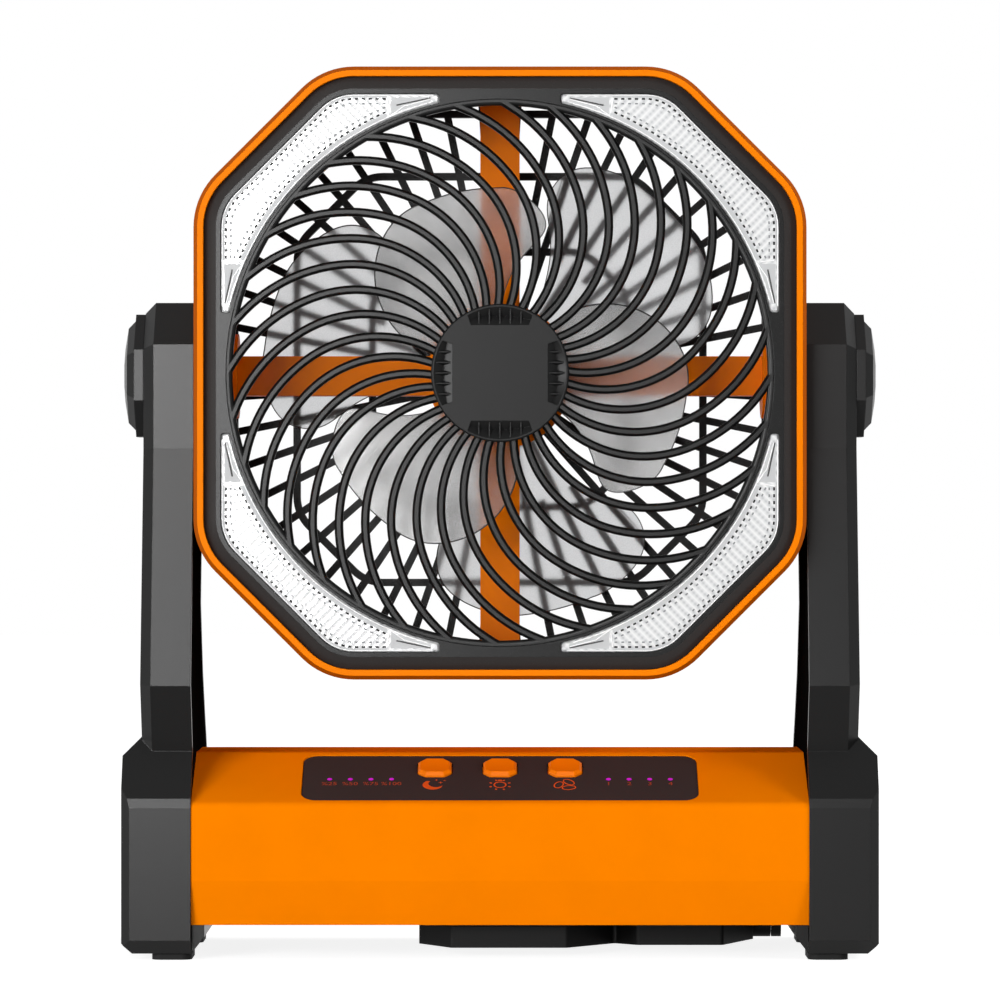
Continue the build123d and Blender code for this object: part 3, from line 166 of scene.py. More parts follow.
def moulded(name, colour, roughness, grain, depth, specular=0.5, edge=0.35, tone=0.06):
    """An injection-moulded plastic. The mould's texture, grain mm wide and depth mm deep, is its
    bump; edges are rounded by edge mm; colour drifts by tone over the slow flow of the melt."""
    material, tree, shader, coords = new_finish(name)
    skin, flow = (
        add_node(
            tree,
            "ShaderNodeTexNoise",
            {"Vector": coords["Object"], "Scale": 1000 / width, "Detail": 2.0},
        )
        for width in (grain, melt_flow)
    )
    base = linear(colour)
    tones_and_painted_shade = add_node(
        tree,
        "ShaderNodeMix",
        {
            "Factor": flow.outputs["Fac"],
            6: tuple(c * (1 - tone) for c in base[:3]) + (1.0,),
            7: tuple(min(1.0, c * (1 + tone)) for c in base[:3]) + (1.0,),
        },
        data_type="RGBA",
    )
    sheen = add_node(
        tree,
        "ShaderNodeMapRange",
        {"Value": skin.outputs["Fac"], "To Min": roughness - 0.05, "To Max": roughness + 0.05},
    )
    relief = add_node(
        tree, "ShaderNodeBump", {"Height": skin.outputs["Fac"], "Distance": depth / 1000}
    )
    rounded = add_node(
        tree, "ShaderNodeBevel", {"Radius": edge / 1000, "Normal": relief.outputs[0]}, samples=4
    )
    tree.links.new(tones_and_painted_shade.outputs[2], shader.inputs["Base Color"])
    tree.links.new(sheen.outputs[0], shader.inputs["Roughness"])
    tree.links.new(rounded.outputs[0], shader.inputs["Normal"])
    shader.inputs["Specular IOR Level"].default_value = specular
    return material


def dress(material, *names):
    """Gives CAD nodes one material."""
    for name in names:
        slots = nodes[name].data.materials
        slots.clear()
        slots.append(material)


# Grained ABS: saturated and dull, because the grain breaks the highlight up.
base_orange = moulded("grained_orange_abs", "#fb8300", 0.6, 0.5, 0.006, specular=0.0)
dress(base_orange, "base_housing")

# ---- Base tray and its screws ----
# The bottom cover with the hook's two lugs, black ABS with a coarser spark-eroded texture. Four
# zinc-plated pan-head screws hold it, with cross recesses.
tray_abs = moulded("tray_abs", "#101010", 0.5, 0.8, 0.02, specular=0.08)
dress(tray_abs, "base_tray")


def plated(name, colour, roughness, streak):
    """Plated or drawn steel, with faint streaks streak mm apart that vary its gloss."""
    material, tree, shader, coords = new_finish(name)
    shader.inputs["Metallic"].default_value = 1.0
    shader.inputs["Base Color"].default_value = linear(colour)
    marks = add_node(
        tree,
        "ShaderNodeTexNoise",
        {"Vector": coords["Object"], "Scale": 1000 / streak, "Detail": 3.0},
    )
    gloss = add_node(
        tree,
        "ShaderNodeMapRange",
        {"Value": marks.outputs["Fac"], "To Min": roughness - 0.1, "To Max": roughness + 0.1},
    )
    relief = add_node(
        tree, "ShaderNodeBump", {"Height": marks.outputs["Fac"], "Distance": 5e-06}
    )
    tree.links.new(gloss.outputs[0], shader.inputs["Roughness"])
    tree.links.new(relief.outputs[0], shader.inputs["Normal"])
    return material


zinc_plate = plated("zinc_plate", "#b8bcc0", 0.32, 0.6)
dress(zinc_plate, "tray_screws", "grille_screws", "motor_screws")

# The recesses are dark crosses laid on the screw heads: painted shade where the hollow would be.
painted_recess_shade = moulded("painted_recess_shade", "#0a0a0a", 0.6, 0.3, 0.002, specular=0.1)


def piece(name, mesh, body, material=None):
    """A finished piece: a mesh in place, the body it rides, and its material where the
    mesh has none yet."""
    made = bpy.data.objects.new(name, mesh)
    scene.collection.objects.link(made)
    if material:
        mesh.materials.append(material)
    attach(made, body)
    return made


def baked(tree, source, values, name):
    """Runs a Geometry Nodes tree on a mesh or curve and returns the result as a plain mesh."""
    carrier = bpy.data.objects.new(name + "_source", source)
    scene.collection.objects.link(carrier)
    modifier = carrier.modifiers.new("nodes", "NODES")
    modifier.node_group = tree
    for item in tree.interface.items_tree:
        if item.in_out == "INPUT" and item.name in values:
            modifier[item.identifier] = values[item.name]
    graph = bpy.context.evaluated_depsgraph_get()
    mesh = bpy.data.meshes.new_from_object(carrier.evaluated_get(graph), depsgraph=graph)
    mesh.name = name
    mesh.materials.clear()
    mesh.materials.append(values["Material"])
    mesh.polygons.foreach_set("material_index", [0] * len(mesh.polygons))
    carrier.modifiers.remove(modifier)
    bpy.data.objects.remove(carrier)
    return mesh


def new_tree(name, sizes):
    """An empty Geometry Nodes tree and its inputs: a mesh, its sizes by name, and a material."""
    tree = bpy.data.node_groups.new(name, "GeometryNodeTree")
    for label, kind in {"Geometry": "Geometry", **sizes, "Material": "Material"}.items():
        tree.interface.new_socket(label, in_out="INPUT", socket_type="NodeSocket" + kind)
    tree.interface.new_socket("Geometry", in_out="OUTPUT", socket_type="NodeSocketGeometry")
    return tree, add_node(tree, "NodeGroupInput").outputs


def end_tree(tree, made, given):
    """Ends a tree with its instances made real and painted with the given material."""
    real = add_node(tree, "GeometryNodeRealizeInstances", {0: made.outputs[0]})
    painted = add_node(
        tree,
        "GeometryNodeSetMaterial",
        {"Geometry": real.outputs[0], "Material": given["Material"]},
    )
    add_node(tree, "NodeGroupOutput", {0: painted.outputs[0]})
    return tree


def cross_tree():
    """A cross of two flat bars on each point of a mesh."""
    tree, given = new_tree("cross_recesses", {"First Bar": "Vector", "Second Bar": "Vector"})
    cross = add_node(tree, "GeometryNodeJoinGeometry")
    for bar in ("First Bar", "Second Bar"):
        solid = add_node(tree, "GeometryNodeMeshCube", {"Size": given[bar]})
        tree.links.new(solid.outputs["Mesh"], cross.inputs[0])
    spread = add_node(
        tree,
        "GeometryNodeInstanceOnPoints",
        {"Points": given["Geometry"], "Instance": cross.outputs[0]},
    )
    return end_tree(tree, spread, given)


screw_cross = cross_tree()
recess_level = 0.00002  # metres, of the cross's middle above the screw's head
cross_width = 0.0032


def solids_of(name):
    """The separate solids of a node, each as the list of its corners."""
    shape = bmesh.new()
    shape.from_mesh(nodes[name].data)
    bmesh.ops.remove_doubles(shape, verts=shape.verts, dist=1e-06)
    found, seen = [], set()
    for start in shape.verts:
        if start in seen:
            continue
        group, todo = [], [start]
        seen.add(start)
        while todo:
            vertex = todo.pop()
            group.append(vertex.co.copy())
            for edge in vertex.link_edges:
                other = edge.other_vert(vertex)
                if other not in seen:
                    seen.add(other)
                    todo.append(other)
        found.append(group)
    shape.free()
    return found


def crosses(name, node, body, axis, sign, arm):
    """Cross recesses in painted shade, arm wide, on the heads of a node's screws, which face along
    sign * axis.
    """
    middles = []
    for corners in solids_of(node):
        top = sign * max(sign * c[axis] for c in corners)
        rim = [c for c in corners if abs(c[axis] - top) < 1e-05]
        middle = sum(rim, Vector()) / len(rim)
        middle[axis] += sign * recess_level
        middles.append(middle)
    points = bpy.data.meshes.new(name + "_points")
    points.from_pydata(middles, [], [])
    blade = arm / 3.4
    bars = [[arm, blade], [blade, arm]]
    for bar in bars:
        bar.insert(axis, 2 * recess_level)
    values = {"First Bar": bars[0], "Second Bar": bars[1], "Material": painted_recess_shade}
    mesh = baked(screw_cross, points, values, name)
    return piece(name, mesh, body)


crosses("tray_screw_recesses", "tray_screws", "base", 2, -1, cross_width)

# ---- Control panel ----
# A near-black film label on a smooth ABS plate, sunk in the slope. Its marks are screen printed
# in orange: a moon, a lamp and a fan under the buttons, and the scales of charge and speed.
panel_film = moulded("panel_film", "#3b3130", 0.5, 0.25, 0.002, specular=0.03, edge=0.2)
dress(panel_film, "control_panel")
slope_angle = radians(25)
slope_middle = Vector((0.0, -0.0280, 0.0585))
panel_sink, ink_film = 0.0004, 0.00002
slope_frame = Matrix.Translation(slope_middle) @ Matrix.Rotation(slope_angle, 4, "X")


def printed(name, colour):
    """Screen-print ink: flat and even, with a slightly broken film."""
    return moulded(name, colour, 0.55, 0.12, 0.001, specular=0.1, edge=0.02, tone=0.12)


icon_ink = printed("icon_ink", "#e4561a")
scale_ink = printed("scale_ink", "#b04426")


def ring_points(centre, radius, start=0.0, end=360.0, count=32, squash=1.0, turn=0.0):
    """Points of an arc in mm; squash flattens it across, turn rotates it about its centre."""
    found = []
    for k in range(count + 1):
        angle = radians(start + (end - start) * k / count)
        x, y = radius * cos(angle), squash * radius * sin(angle)
        c, s = cos(radians(turn)), sin(radians(turn))
        found.append((centre[0] + c * x - s * y, centre[1] + s * x + c * y))
    return found


def band(shape, inner, outer):
    """A flat band between two lines of equally many points, in mm."""
    rows = [[shape.verts.new((x / 1000, y / 1000, 0)) for x, y in line] for line in (inner, outer)]
    for k in range(len(inner) - 1):
        shape.faces.new((rows[0][k], rows[0][k + 1], rows[1][k + 1], rows[1][k]))


def on_slope(shape, name, material):
    """Lays a flat drawing on the panel, front side up, with the ink's thickness."""
    bmesh.ops.recalc_face_normals(shape, faces=shape.faces)
    for face in shape.faces:
        if face.normal.z < 0:
            face.normal_flip()
    lift = Matrix.Translation((0, 0, ink_film - panel_sink))
    bmesh.ops.transform(shape, matrix=slope_frame @ lift, verts=shape.verts)
    mesh = bpy.data.meshes.new(name)
    shape.to_mesh(mesh)
    shape.free()
    return piece(name, mesh, "base", material)


icons = bmesh.new()
button_pitch = 21.4
icon_row = -4.0
# The moon: a crescent between two arcs, open to the upper right, with three small stars.
moon = (-button_pitch - 0.6, icon_row)
band(
    icons,
    ring_points(moon, 3.3, 128, 338),
    ring_points((moon[0] + 1.1, moon[1] + 0.9), 2.5, 138, 328),
)
for x, y, size in ((1.2, 3.3, 0.6), (2.6, 1.6, 0.8), (3.9, 3.0, 0.6)):
    star_middle = Vector((moon[0] + x, moon[1] + y))
    star = []
    for k in range(9):
        reach = size * (1, 0.35)[k % 2]
        angle = radians(45 * k)
        star.append(star_middle + reach * Vector((cos(angle), sin(angle))))
    band(icons, [star_middle] * 9, star)
# The lamp: a round bulb with its cap above, and eight short rays.
lamp_mark = (0.0, icon_row)
band(icons, ring_points(lamp_mark, 1.7), ring_points(lamp_mark, 2.15))
for k in range(8):
    angle = radians(22.5 + 45 * k)
    along, across = Vector((cos(angle), sin(angle))), Vector((-sin(angle), cos(angle)))
    ends = [Vector(lamp_mark) + r * along for r in (2.9, 3.7)]
    band(icons, [p - 0.3 * across for p in ends], [p + 0.3 * across for p in ends])
band(
    icons,
    [(lamp_mark[0] - 0.9, lamp_mark[1] + 2.7), (lamp_mark[0] + 0.9, lamp_mark[1] + 2.7)],
    [(lamp_mark[0] - 0.5, lamp_mark[1] + 3.5), (lamp_mark[0] + 0.5, lamp_mark[1] + 3.5)],
)
# The fan: three open loops round its middle.
fan_mark = (button_pitch, icon_row)
for heading in (60, 180, 300):
    loop = (
        fan_mark[0] + 2.2 * cos(radians(heading)),
        fan_mark[1] + 2.2 * sin(radians(heading)),
    )
    band(
        icons,
        ring_points(loop, 2.0, squash=0.58, turn=heading + 70),
        ring_points(loop, 2.4, squash=0.66, turn=heading + 70),
    )
on_slope(icons, "panel_icons", icon_ink)

# The charge in percent under the left row of lamps, and the speeds under the right one.
numerals = bmesh.new()
lamp_first, lamp_pitch = 35.5, 6.75
numeral_size, numeral_row = 0.0031, -0.0042
charges = ("%100", "%75", "%50", "%25")
words = [(-lamp_first - lamp_pitch * k, text) for k, text in enumerate(charges)]
words += [(lamp_first + lamp_pitch * k, str(k + 1)) for k in range(4)]
for x, text in words:
    curve = bpy.data.curves.new("numeral", "FONT")
    curve.body = text
    curve.size = numeral_size
    curve.align_x = "CENTER"
    curve.resolution_u = 3
    setter = bpy.data.objects.new("numeral", curve)
    scene.collection.objects.link(setter)
    graph = bpy.context.evaluated_depsgraph_get()
    flat = bpy.data.meshes.new_from_object(setter.evaluated_get(graph), depsgraph=graph)
    flat.transform(Matrix.Translation((x / 1000, numeral_row, 0)))
    numerals.from_mesh(flat)
    bpy.data.objects.remove(setter)
    bpy.data.meshes.remove(flat)
on_slope(numerals, "panel_numerals", scale_ink)

# ---- Buttons ----
# Three push buttons of the same orange ABS, with a brighter polished face and softly rounded
# edges. Each presses a smooth black key switch on the panel board.
button_abs = moulded("button_abs", "#fb7c02", 0.4, 0.35, 0.003, specular=0.06, edge=0.5)
dress(button_abs, "left_button", "middle_button", "right_button")
switch_abs = moulded("switch_abs", "#121212", 0.4, 0.4, 0.003)
dress(switch_abs, "key_switches")

# ---- Indicators ----
# Tinted acrylic light guides, four on each side of the buttons, which stand in the panel's holes
# over surface-mounted LEDs. They are lit, and glow magenta.
magenta = "#d020d8"
guide_acrylic = moulded("guide_acrylic", magenta, 0.2, 0.3, 0.001, edge=0.1)
guide_shader = guide_acrylic.node_tree.nodes["Principled BSDF"]
guide_shader.inputs["Emission Color"].default_value = linear(magenta)
guide_shader.inputs["Emission Strength"].default_value = 0.2
dress(guide_acrylic, "lamp_guides", "panel_lamps")


# ---- Boards and sockets ----
# Glass-epoxy boards under green solder mask, on posts in the base. The sockets are drawn from
# tinned steel, and reach into the openings of the back wall.
def solder_mask(name):
    """Green lacquer over copper: faint lighter tracks about 0.5 mm wide and 1.8 mm apart, bridged
    every 7.5 mm, and a smooth gloss. The pattern's unit is 8.3 mm."""
    material, tree, shader, coords = new_finish(name)
    tracks = add_node(
        tree,
        "ShaderNodeTexBrick",
        {
            "Vector": coords["Object"],
            "Color1": linear("#0f5a2c"),
            "Color2": linear("#115f30"),
            "Mortar": linear("#2a8048"),
            "Scale": 120.0,
            "Mortar Size": 0.03,
            "Brick Width": 0.9,
            "Row Height": 0.22,
        },
    )
    relief = add_node(tree, "ShaderNodeBump", {"Height": tracks.outputs["Fac"], "Distance": 3e-05})
    tree.links.new(tracks.outputs["Color"], shader.inputs["Base Color"])
    tree.links.new(relief.outputs[0], shader.inputs["Normal"])
    shader.inputs["Roughness"].default_value = 0.3
    return material


board_mask = solder_mask("solder_mask")
dress(board_mask, "panel_board", "main_board")
tinned_steel = plated("tinned_steel", "#c4c6c8", 0.3, 0.8)
dress(tinned_steel, "charge_socket", "output_socket")

# ---- Battery ----
# Four round lithium cells in glossy blue shrink sleeves, slightly wavy as they shrink, lying in
# a black ABS cradle.
cell_sleeve = moulded("cell_sleeve", "#1d4f8c", 0.3, 1.5, 0.01, edge=0.5, tone=0.1)
dress(cell_sleeve, "battery_cells")
dress(tray_abs, "battery_cradle")

# ---- Hanging hook ----
# A folding hook of glass-filled nylon, whose fibres dull its gloss. It lies under the base, on a
# plain steel pin between two lugs.
hook_nylon = moulded("hook_nylon", "#0d0d0d", 0.42, 0.7, 0.015, specular=0.06, edge=0.6)
dress(hook_nylon, "hook")
drawn_steel = plated("drawn_steel", "#a9abad", 0.36, 1.2)
dress(drawn_steel, "hook_pin", "tilt_pins", "tilt_nuts")

# ---- Stands and pivots ----
# Two hollow mouldings of black ABS, each a foot pod and an arm, closed inside by a dull, coarsely
# grained cover. Octagonal caps, a little glossier and rounder at the edges, snap over the
# pivots, which turn in nylon bushes.
black_abs = moulded("black_abs", "#141414", 0.3, 0.55, 0.008, specular=0.13)
dress(black_abs, "left_stand", "right_stand")
cover_abs = moulded("cover_abs", "#0c0c0c", 0.6, 0.9, 0.02, specular=0.0)
dress(cover_abs, "left_stand_cover", "right_stand_cover")
cap_abs = moulded("cap_abs", "#151515", 0.32, 0.45, 0.005, specular=0.13, edge=0.5)
dress(cap_abs, "left_pivot_cap", "right_pivot_cap")
bush_nylon = moulded("bush_nylon", "#26221f", 0.45, 0.5, 0.004)
dress(bush_nylon, "tilt_bushes")

# ---- Feet and washers ----
# Die-cut natural rubber, dull and faintly pitted: pads stuck under the pods, and washers on the
# tilt pins between the head and the stands.
pad_rubber = moulded("pad_rubber", "#0e0e0e", 0.75, 0.9, 0.04, specular=0.15, edge=0.5)
dress(pad_rubber, "foot_pads", "tilt_washers")


# ---- Head shells ----
# The octagonal drum in two orange ABS mouldings: a front ring with the rim, and the rear shell
# with the cross of four struts that carries both motors.
def shade_by_tilt(material, painted_slope_colour, facing, spread):
    """Paints the given slope colour, painted shade on the rim and painted light on the bezel, onto
    the slopes whose normal's part along the air's way is about facing: fully within half of
    spread, and not at all beyond spread."""
    tree = material.node_tree
    shader = tree.nodes["Principled BSDF"]
    face = add_node(
        tree,
        "ShaderNodeSeparateXYZ",
        {0: add_node(tree, "ShaderNodeTexCoord").outputs["Normal"]},
    )
    level = add_node(tree, "ShaderNodeMath", {0: face.outputs["Y"]}, operation="ABSOLUTE")
    off = add_node(
        tree, "ShaderNodeMath", {0: level.outputs[0], 1: facing}, operation="SUBTRACT"
    )
    apart = add_node(tree, "ShaderNodeMath", {0: off.outputs[0]}, operation="ABSOLUTE")
    tilt = add_node(
        tree,
        "ShaderNodeMapRange",
        {
            "Value": apart.outputs[0],
            "From Min": spread / 2,
            "From Max": spread,
            "To Min": 1.0,
            "To Max": 0.0,
        },
    )
    plain = shader.inputs["Base Color"].links[0].from_socket
    blend = add_node(
        tree,
        "ShaderNodeMix",
        {"Factor": tilt.outputs[0], 6: plain, 7: linear(painted_slope_colour)},
        data_type="RGBA",
    )
    tree.links.new(blend.outputs[2], shader.inputs["Base Color"])


# Satin ABS: saturated, with a soft highlight. The rim's bevel, which faces 59 degrees away from
# the air's way, gets painted shade: a deeper orange that stands in for the shade it turns into.
orange_abs = moulded("satin_orange_abs", "#fb8100", 0.45, 0.5, 0.006, specular=0.03)
dress(orange_abs, "rear_housing")
rim_orange_painted_shade = moulded("rim_orange_abs", "#fb8100", 0.4, 0.5, 0.006, specular=0.012)
# Painted shade: the bevel is coloured darker to stand in for its shade.
shade_by_tilt(rim_orange_painted_shade, "#b65403", facing=0.51, spread=0.3)
dress(rim_orange_painted_shade, "front_housing")

# ---- Front bezel ----
# Black ABS plate, set in the rim, with windows for the four corner lamps. It is smooth and mirrors
# the light softly. The band that slopes back to the rim is duller, and is painted a lighter grey:
# painted light that lifts the shade the rim casts on it.
bezel_abs_painted_light = moulded("bezel_abs_painted_light", "#101010", 0.26, 0.4, 0.004, specular=0.1, edge=0.4)
# Painted light: the sloping band's colour is lifted to a lighter grey.
shade_by_tilt(bezel_abs_painted_light, "#302d2c", facing=0.9, spread=0.09)
dress(bezel_abs_painted_light, "front_bezel")

# ---- Corner lamps ----
# Clear prismatic lenses over white reflectors with LED strips. Polycarbonate, with a field of
# fine pyramids. Along the edges, painted highlight and shade: a white bead, a grey band and two
# rows of dark teeth.
prism_pitch = 2.2
prism_height = 0.00006  # metres
wave_scale = 50 * tau  # divided by mm, the wave texture's scale for bands that far apart


def prismatic(name, heading):
    """Clear polycarbonate whose inner face has rows of pyramids: a strong row every prism_pitch
    mm along heading, in degrees, crossed by a fainter one at two thirds of that. Its colour is
    painted: near-white and mostly opaque, painted light for the bright reflector seen through it,
    and greyer along the rows, painted shade of the prisms."""
    material, tree, shader, coords = new_finish(name)
    shader.inputs["Roughness"].default_value = 0.14
    shader.inputs["IOR"].default_value = 1.58
    shader.inputs["Specular IOR Level"].default_value = 0.5
    shader.inputs["Alpha"].default_value = 0.88
    turned = add_node(
        tree,
        "ShaderNodeMapping",
        {"Vector": coords["Object"], "Rotation": (0, radians(heading), 0)},
    )
    rows = [
        add_node(
            tree,
            "ShaderNodeTexWave",
            {"Vector": turned.outputs[0], "Scale": wave_scale / pitch},
            bands_direction=direction,
            wave_profile="TRI",
        ).outputs["Fac"]
        for direction, pitch in (("X", prism_pitch), ("Z", prism_pitch * 2 / 3))
    ]
    faint = add_node(
        tree, "ShaderNodeMapRange", {"Value": rows[1], "To Min": 0.55, "To Max": 1.0}
    )
    prisms = add_node(
        tree, "ShaderNodeMath", {0: rows[0], 1: faint.outputs[0]}, operation="MULTIPLY"
    )
    # Painted shade along the prism rows, painted light near-white between them.
    tones_and_painted_shade = add_node(
        tree,
        "ShaderNodeMix",
        {"Factor": prisms.outputs[0], 6: linear("#fbfbfb"), 7: linear("#c9cbcd")},
        data_type="RGBA",
    )
    relief = add_node(
        tree,
        "ShaderNodeBump",
        {"Height": prisms.outputs[0], "Distance": prism_height, "Strength": 0.5},
    )
    tree.links.new(tones_and_painted_shade.outputs[2], shader.inputs["Base Color"])
    tree.links.new(relief.outputs[0], shader.inputs["Normal"])
    return material


rising_pc = prismatic("rising_prism_polycarbonate", 45)
falling_pc = prismatic("falling_prism_polycarbonate", -45)
dress(rising_pc, "upper_left_lens", "lower_right_lens")
dress(falling_pc, "upper_right_lens", "lower_left_lens")

# White ABS reflectors and solder-masked strips, bright behind the lens.
corners_of_head = ("upper_left", "upper_right", "lower_left", "lower_right")
reflector_white = moulded("reflector_white", "#f2f2f0", 0.35, 0.6, 0.004, tone=0.02)
dress(reflector_white, *(f"{c}_reflector" for c in corners_of_head))
strip_white = moulded("strip_white", "#e9e9e2", 0.45, 0.5, 0.003, tone=0.03)
dress(strip_white, "led_strips")

# Millimetres from the head's middle, which is tilt_height above the floor.
head_half, head_clip, head_round = 99.0, 41.94, 24.0
tilt_height = 190.5
window_arc = 89.3  # radius of the window's inner edge
lens_face = -51.94
wall_place = 36.4  # of the two walls that close the chamber of each lamp
tip_end = 21.5  # where the window's plain tips end
clear = 1.0  # kept free beside the walls


def window_path(inset, gap):
    """Upper right outline of the lamp window, inset from the head's outside, from gap to gap."""
    half, bend = head_half - inset, head_round - inset
    leg = head_clip - (2 - sqrt(2)) * inset
    tangent = bend * tan(radians(22.5))
    path = [(gap, half)]
    for k in range(7):
        angle = radians(90 - 7.5 * k)
        path.append((half - leg - tangent + bend * cos(angle), half - bend + bend * sin(angle)))
    for k in range(7):
        angle = radians(45 - 7.5 * k)
        path.append((half - bend + bend * cos(angle), half - leg - tangent + bend * sin(angle)))
    return path + [(half, gap)]


def arc_path(radius, gap):
    """The window's inner arc in the upper right, between the same gaps."""
    start, end = acos(gap / radius), asin(gap / radius)
    steps = [start + (end - start) * k / 40 for k in range(41)]
    return [(radius * cos(angle), radius * sin(angle)) for angle in steps]


def edge_lines(inset, offset, gap):
    """The window's two long edges: inset from the head's outside, and offset out from the arc."""
    return [window_path(inset, gap), arc_path(window_arc + offset, gap)]


def four_ways(paths):
    """The paths in all four corners of the head, as the edges of one mesh."""
    corners, edges = [], []
    for sx in (-1, 1):
        for sz in (-1, 1):
            for path in paths:
                for k, (x, z) in enumerate(path):
                    if k:
                        edges.append((len(corners) - 1, len(corners)))
                    place = (sx * x, lens_face, tilt_height + sz * z)
                    corners.append([v / 1000 for v in place])
    mesh = bpy.data.meshes.new("lamp_paths")
    mesh.from_pydata(corners, edges, [])
    return mesh


def row_tree():
    """Small blocks along a path, pitch apart, turned with it."""
    tree, given = new_tree("tooth_row", {"Pitch": "Float", "Tooth Size": "Vector"})
    path = add_node(tree, "GeometryNodeMeshToCurve", {0: given["Geometry"]})
    steps = add_node(
        tree,
        "GeometryNodeResampleCurve",
        {"Curve": path.outputs[0], "Length": given["Pitch"]},
        mode="LENGTH",
    )
    tooth = add_node(tree, "GeometryNodeMeshCube", {"Size": given["Tooth Size"]})
    turn = add_node(
        tree,
        "FunctionNodeAlignRotationToVector",
        {"Vector": add_node(tree, "GeometryNodeInputTangent").outputs[0]},
        axis="X",
        pivot_axis="Y",
    )
    spread = add_node(
        tree,
        "GeometryNodeInstanceOnPoints",
        {"Points": steps.outputs[0], "Instance": tooth.outputs[0], "Rotation": turn.outputs[0]},
    )
    return end_tree(tree, spread, given)


def bead_tree():
    """A round bead along the edges of a mesh that bend by more than the least angle."""
    tree, given = new_tree("bead", {"Radius": "Float", "Least Angle": "Float"})
    bends = add_node(
        tree,
        "ShaderNodeMath",
        {
            0: add_node(tree, "GeometryNodeInputMeshEdgeAngle").outputs["Unsigned Angle"],
            1: given["Least Angle"],
        },
        operation="GREATER_THAN",
    )
    path = add_node(
        tree, "GeometryNodeMeshToCurve", {0: given["Geometry"], 1: bends.outputs[0]}
    )
    round_section = add_node(
        tree, "GeometryNodeCurvePrimitiveCircle", {"Resolution": 6, "Radius": given["Radius"]}
    )
    swept = add_node(
        tree,
        "GeometryNodeCurveToMesh",
        {"Curve": path.outputs[0], "Profile Curve": round_section.outputs[0], "Fill Caps": True},
    )
    smooth = add_node(tree, "GeometryNodeSetShadeSmooth", {0: swept.outputs[0]})
    return end_tree(tree, smooth, given)


tooth_row = row_tree()
bead = bead_tree()
tooth_pitch = 0.0022  # metres, as the teeth's sizes are
every_edge = -1.0  # a least angle that every edge passes
# Moulded marks in the clear lens, drawn in painted shade where a prism turns the light away and
# in painted highlight where it glints.
painted_tooth_shade = moulded("painted_tooth_shade", "#2e2e2e", 0.4, 0.3, 0.001, specular=0.02, edge=0.05)
painted_prism_glint = moulded("painted_prism_glint", "#fdfdfd", 0.2, 0.3, 0.001, edge=0.05, tone=0.02)
painted_rib_shade = moulded("painted_rib_shade", "#505050", 0.4, 0.3, 0.001, specular=0.05, edge=0.05)
chamber = wall_place + clear
tooth_lines = four_ways(edge_lines(inset=10.55, offset=2.6, gap=chamber))
teeth = baked(
    tooth_row,
    tooth_lines,
    {"Pitch": tooth_pitch, "Tooth Size": (0.00105, 0.00012, 0.0006), "Material": painted_tooth_shade},
    "lamp_teeth",
)
piece("lamp_teeth", teeth, "head")
painted_faint_shade = moulded("faint_tooth_shade", "#8e9092", 0.4, 0.3, 0.001, specular=0.02, edge=0.05)
faint_lines = four_ways(edge_lines(inset=12.1, offset=4.1, gap=chamber))
faint_teeth = baked(
    tooth_row,
    faint_lines,
    {"Pitch": tooth_pitch, "Tooth Size": (0.0009, 0.0001, 0.0005), "Material": painted_faint_shade},
    "lamp_faint_teeth",
)
piece("lamp_faint_teeth", faint_teeth, "head")
# White beads of painted highlight along both long edges, down each end wall and round each plain
# tip. Their points, and the ribs', are given for the upper right lamp.
glints = four_ways(
    [
        window_path(9.35, tip_end),
        arc_path(window_arc + 0.75, tip_end + 2),
        [(wall_place, 88.5), (wall_place - 0.6, 84.0)],
        [(88.5, wall_place), (84.0, wall_place - 0.6)],
        [(wall_place - 1.0, 83.0), (wall_place - 5.5, 86.2), (tip_end + 1, 88.4)],
        [(83.0, wall_place - 1.0), (86.2, wall_place - 5.5), (88.4, tip_end + 1)],
    ]
)
glint_beads = baked(
    bead,
    glints,
    {"Radius": 0.00022, "Least Angle": every_edge, "Material": painted_prism_glint},
    "lamp_glints",
)
piece("lamp_glints", glint_beads, "head")
# Dark ribs of painted shade beside each tip.
ribs = four_ways(
    [
        [(wall_place - 3.0, 86.4), (tip_end + 1, 88.7)],
        [(86.4, wall_place - 3.0), (88.7, tip_end + 1)],
    ]
)
rib_beads = baked(
    bead,
    ribs,
    {"Radius": 0.00026, "Least Angle": every_edge, "Material": painted_rib_shade},
    "lamp_ribs",
)
piece("lamp_ribs", rib_beads, "head")
# The grey bands beside the glints, and the plain tips beyond the end walls, in painted shade.
painted_band_shade = moulded("painted_band_shade", "#c6c7c8", 0.4, 0.6, 0.002, specular=0.05, edge=0.05, tone=0.1)
bands = bmesh.new()
tip_start, tip_stop = tip_end + 0.8, wall_place - 1.2
tip_steps = [tip_start + (tip_stop - tip_start) * k / 8 for k in range(9)]
edge_pairs = zip(
    edge_lines(inset=9.6, offset=0.95, gap=wall_place),
    edge_lines(inset=10.2, offset=2.2, gap=wall_place),
)
tip_top = [(x, 88.95) for x in tip_steps]
tip_foot = [(x, sqrt((window_arc + 1.1) ** 2 - x**2)) for x in tip_steps]
tip_pair = (tip_top, tip_foot)
turned_pair = [[(z, x) for x, z in line] for line in tip_pair]
band_pairs = [*edge_pairs, tip_pair, turned_pair]
for sx in (-1, 1):
    for sz in (-1, 1):
        for pair in band_pairs:
            band(bands, *([(sx * x, sz * z) for x, z in line] for line in pair))
for face in bands.faces:
    face.normal_update()
    if face.normal.z < 0:
        face.normal_flip()
behind_glints = 0.00002  # metres
band_place = (0, lens_face / 1000 + behind_glints, tilt_height / 1000)
on_face = Matrix.Translation(band_place) @ Matrix.Rotation(radians(90), 4, "X")
bmesh.ops.transform(bands, matrix=on_face, verts=bands.verts)
band_mesh = bpy.data.meshes.new("lamp_bands")
bands.to_mesh(band_mesh)
bands.free()
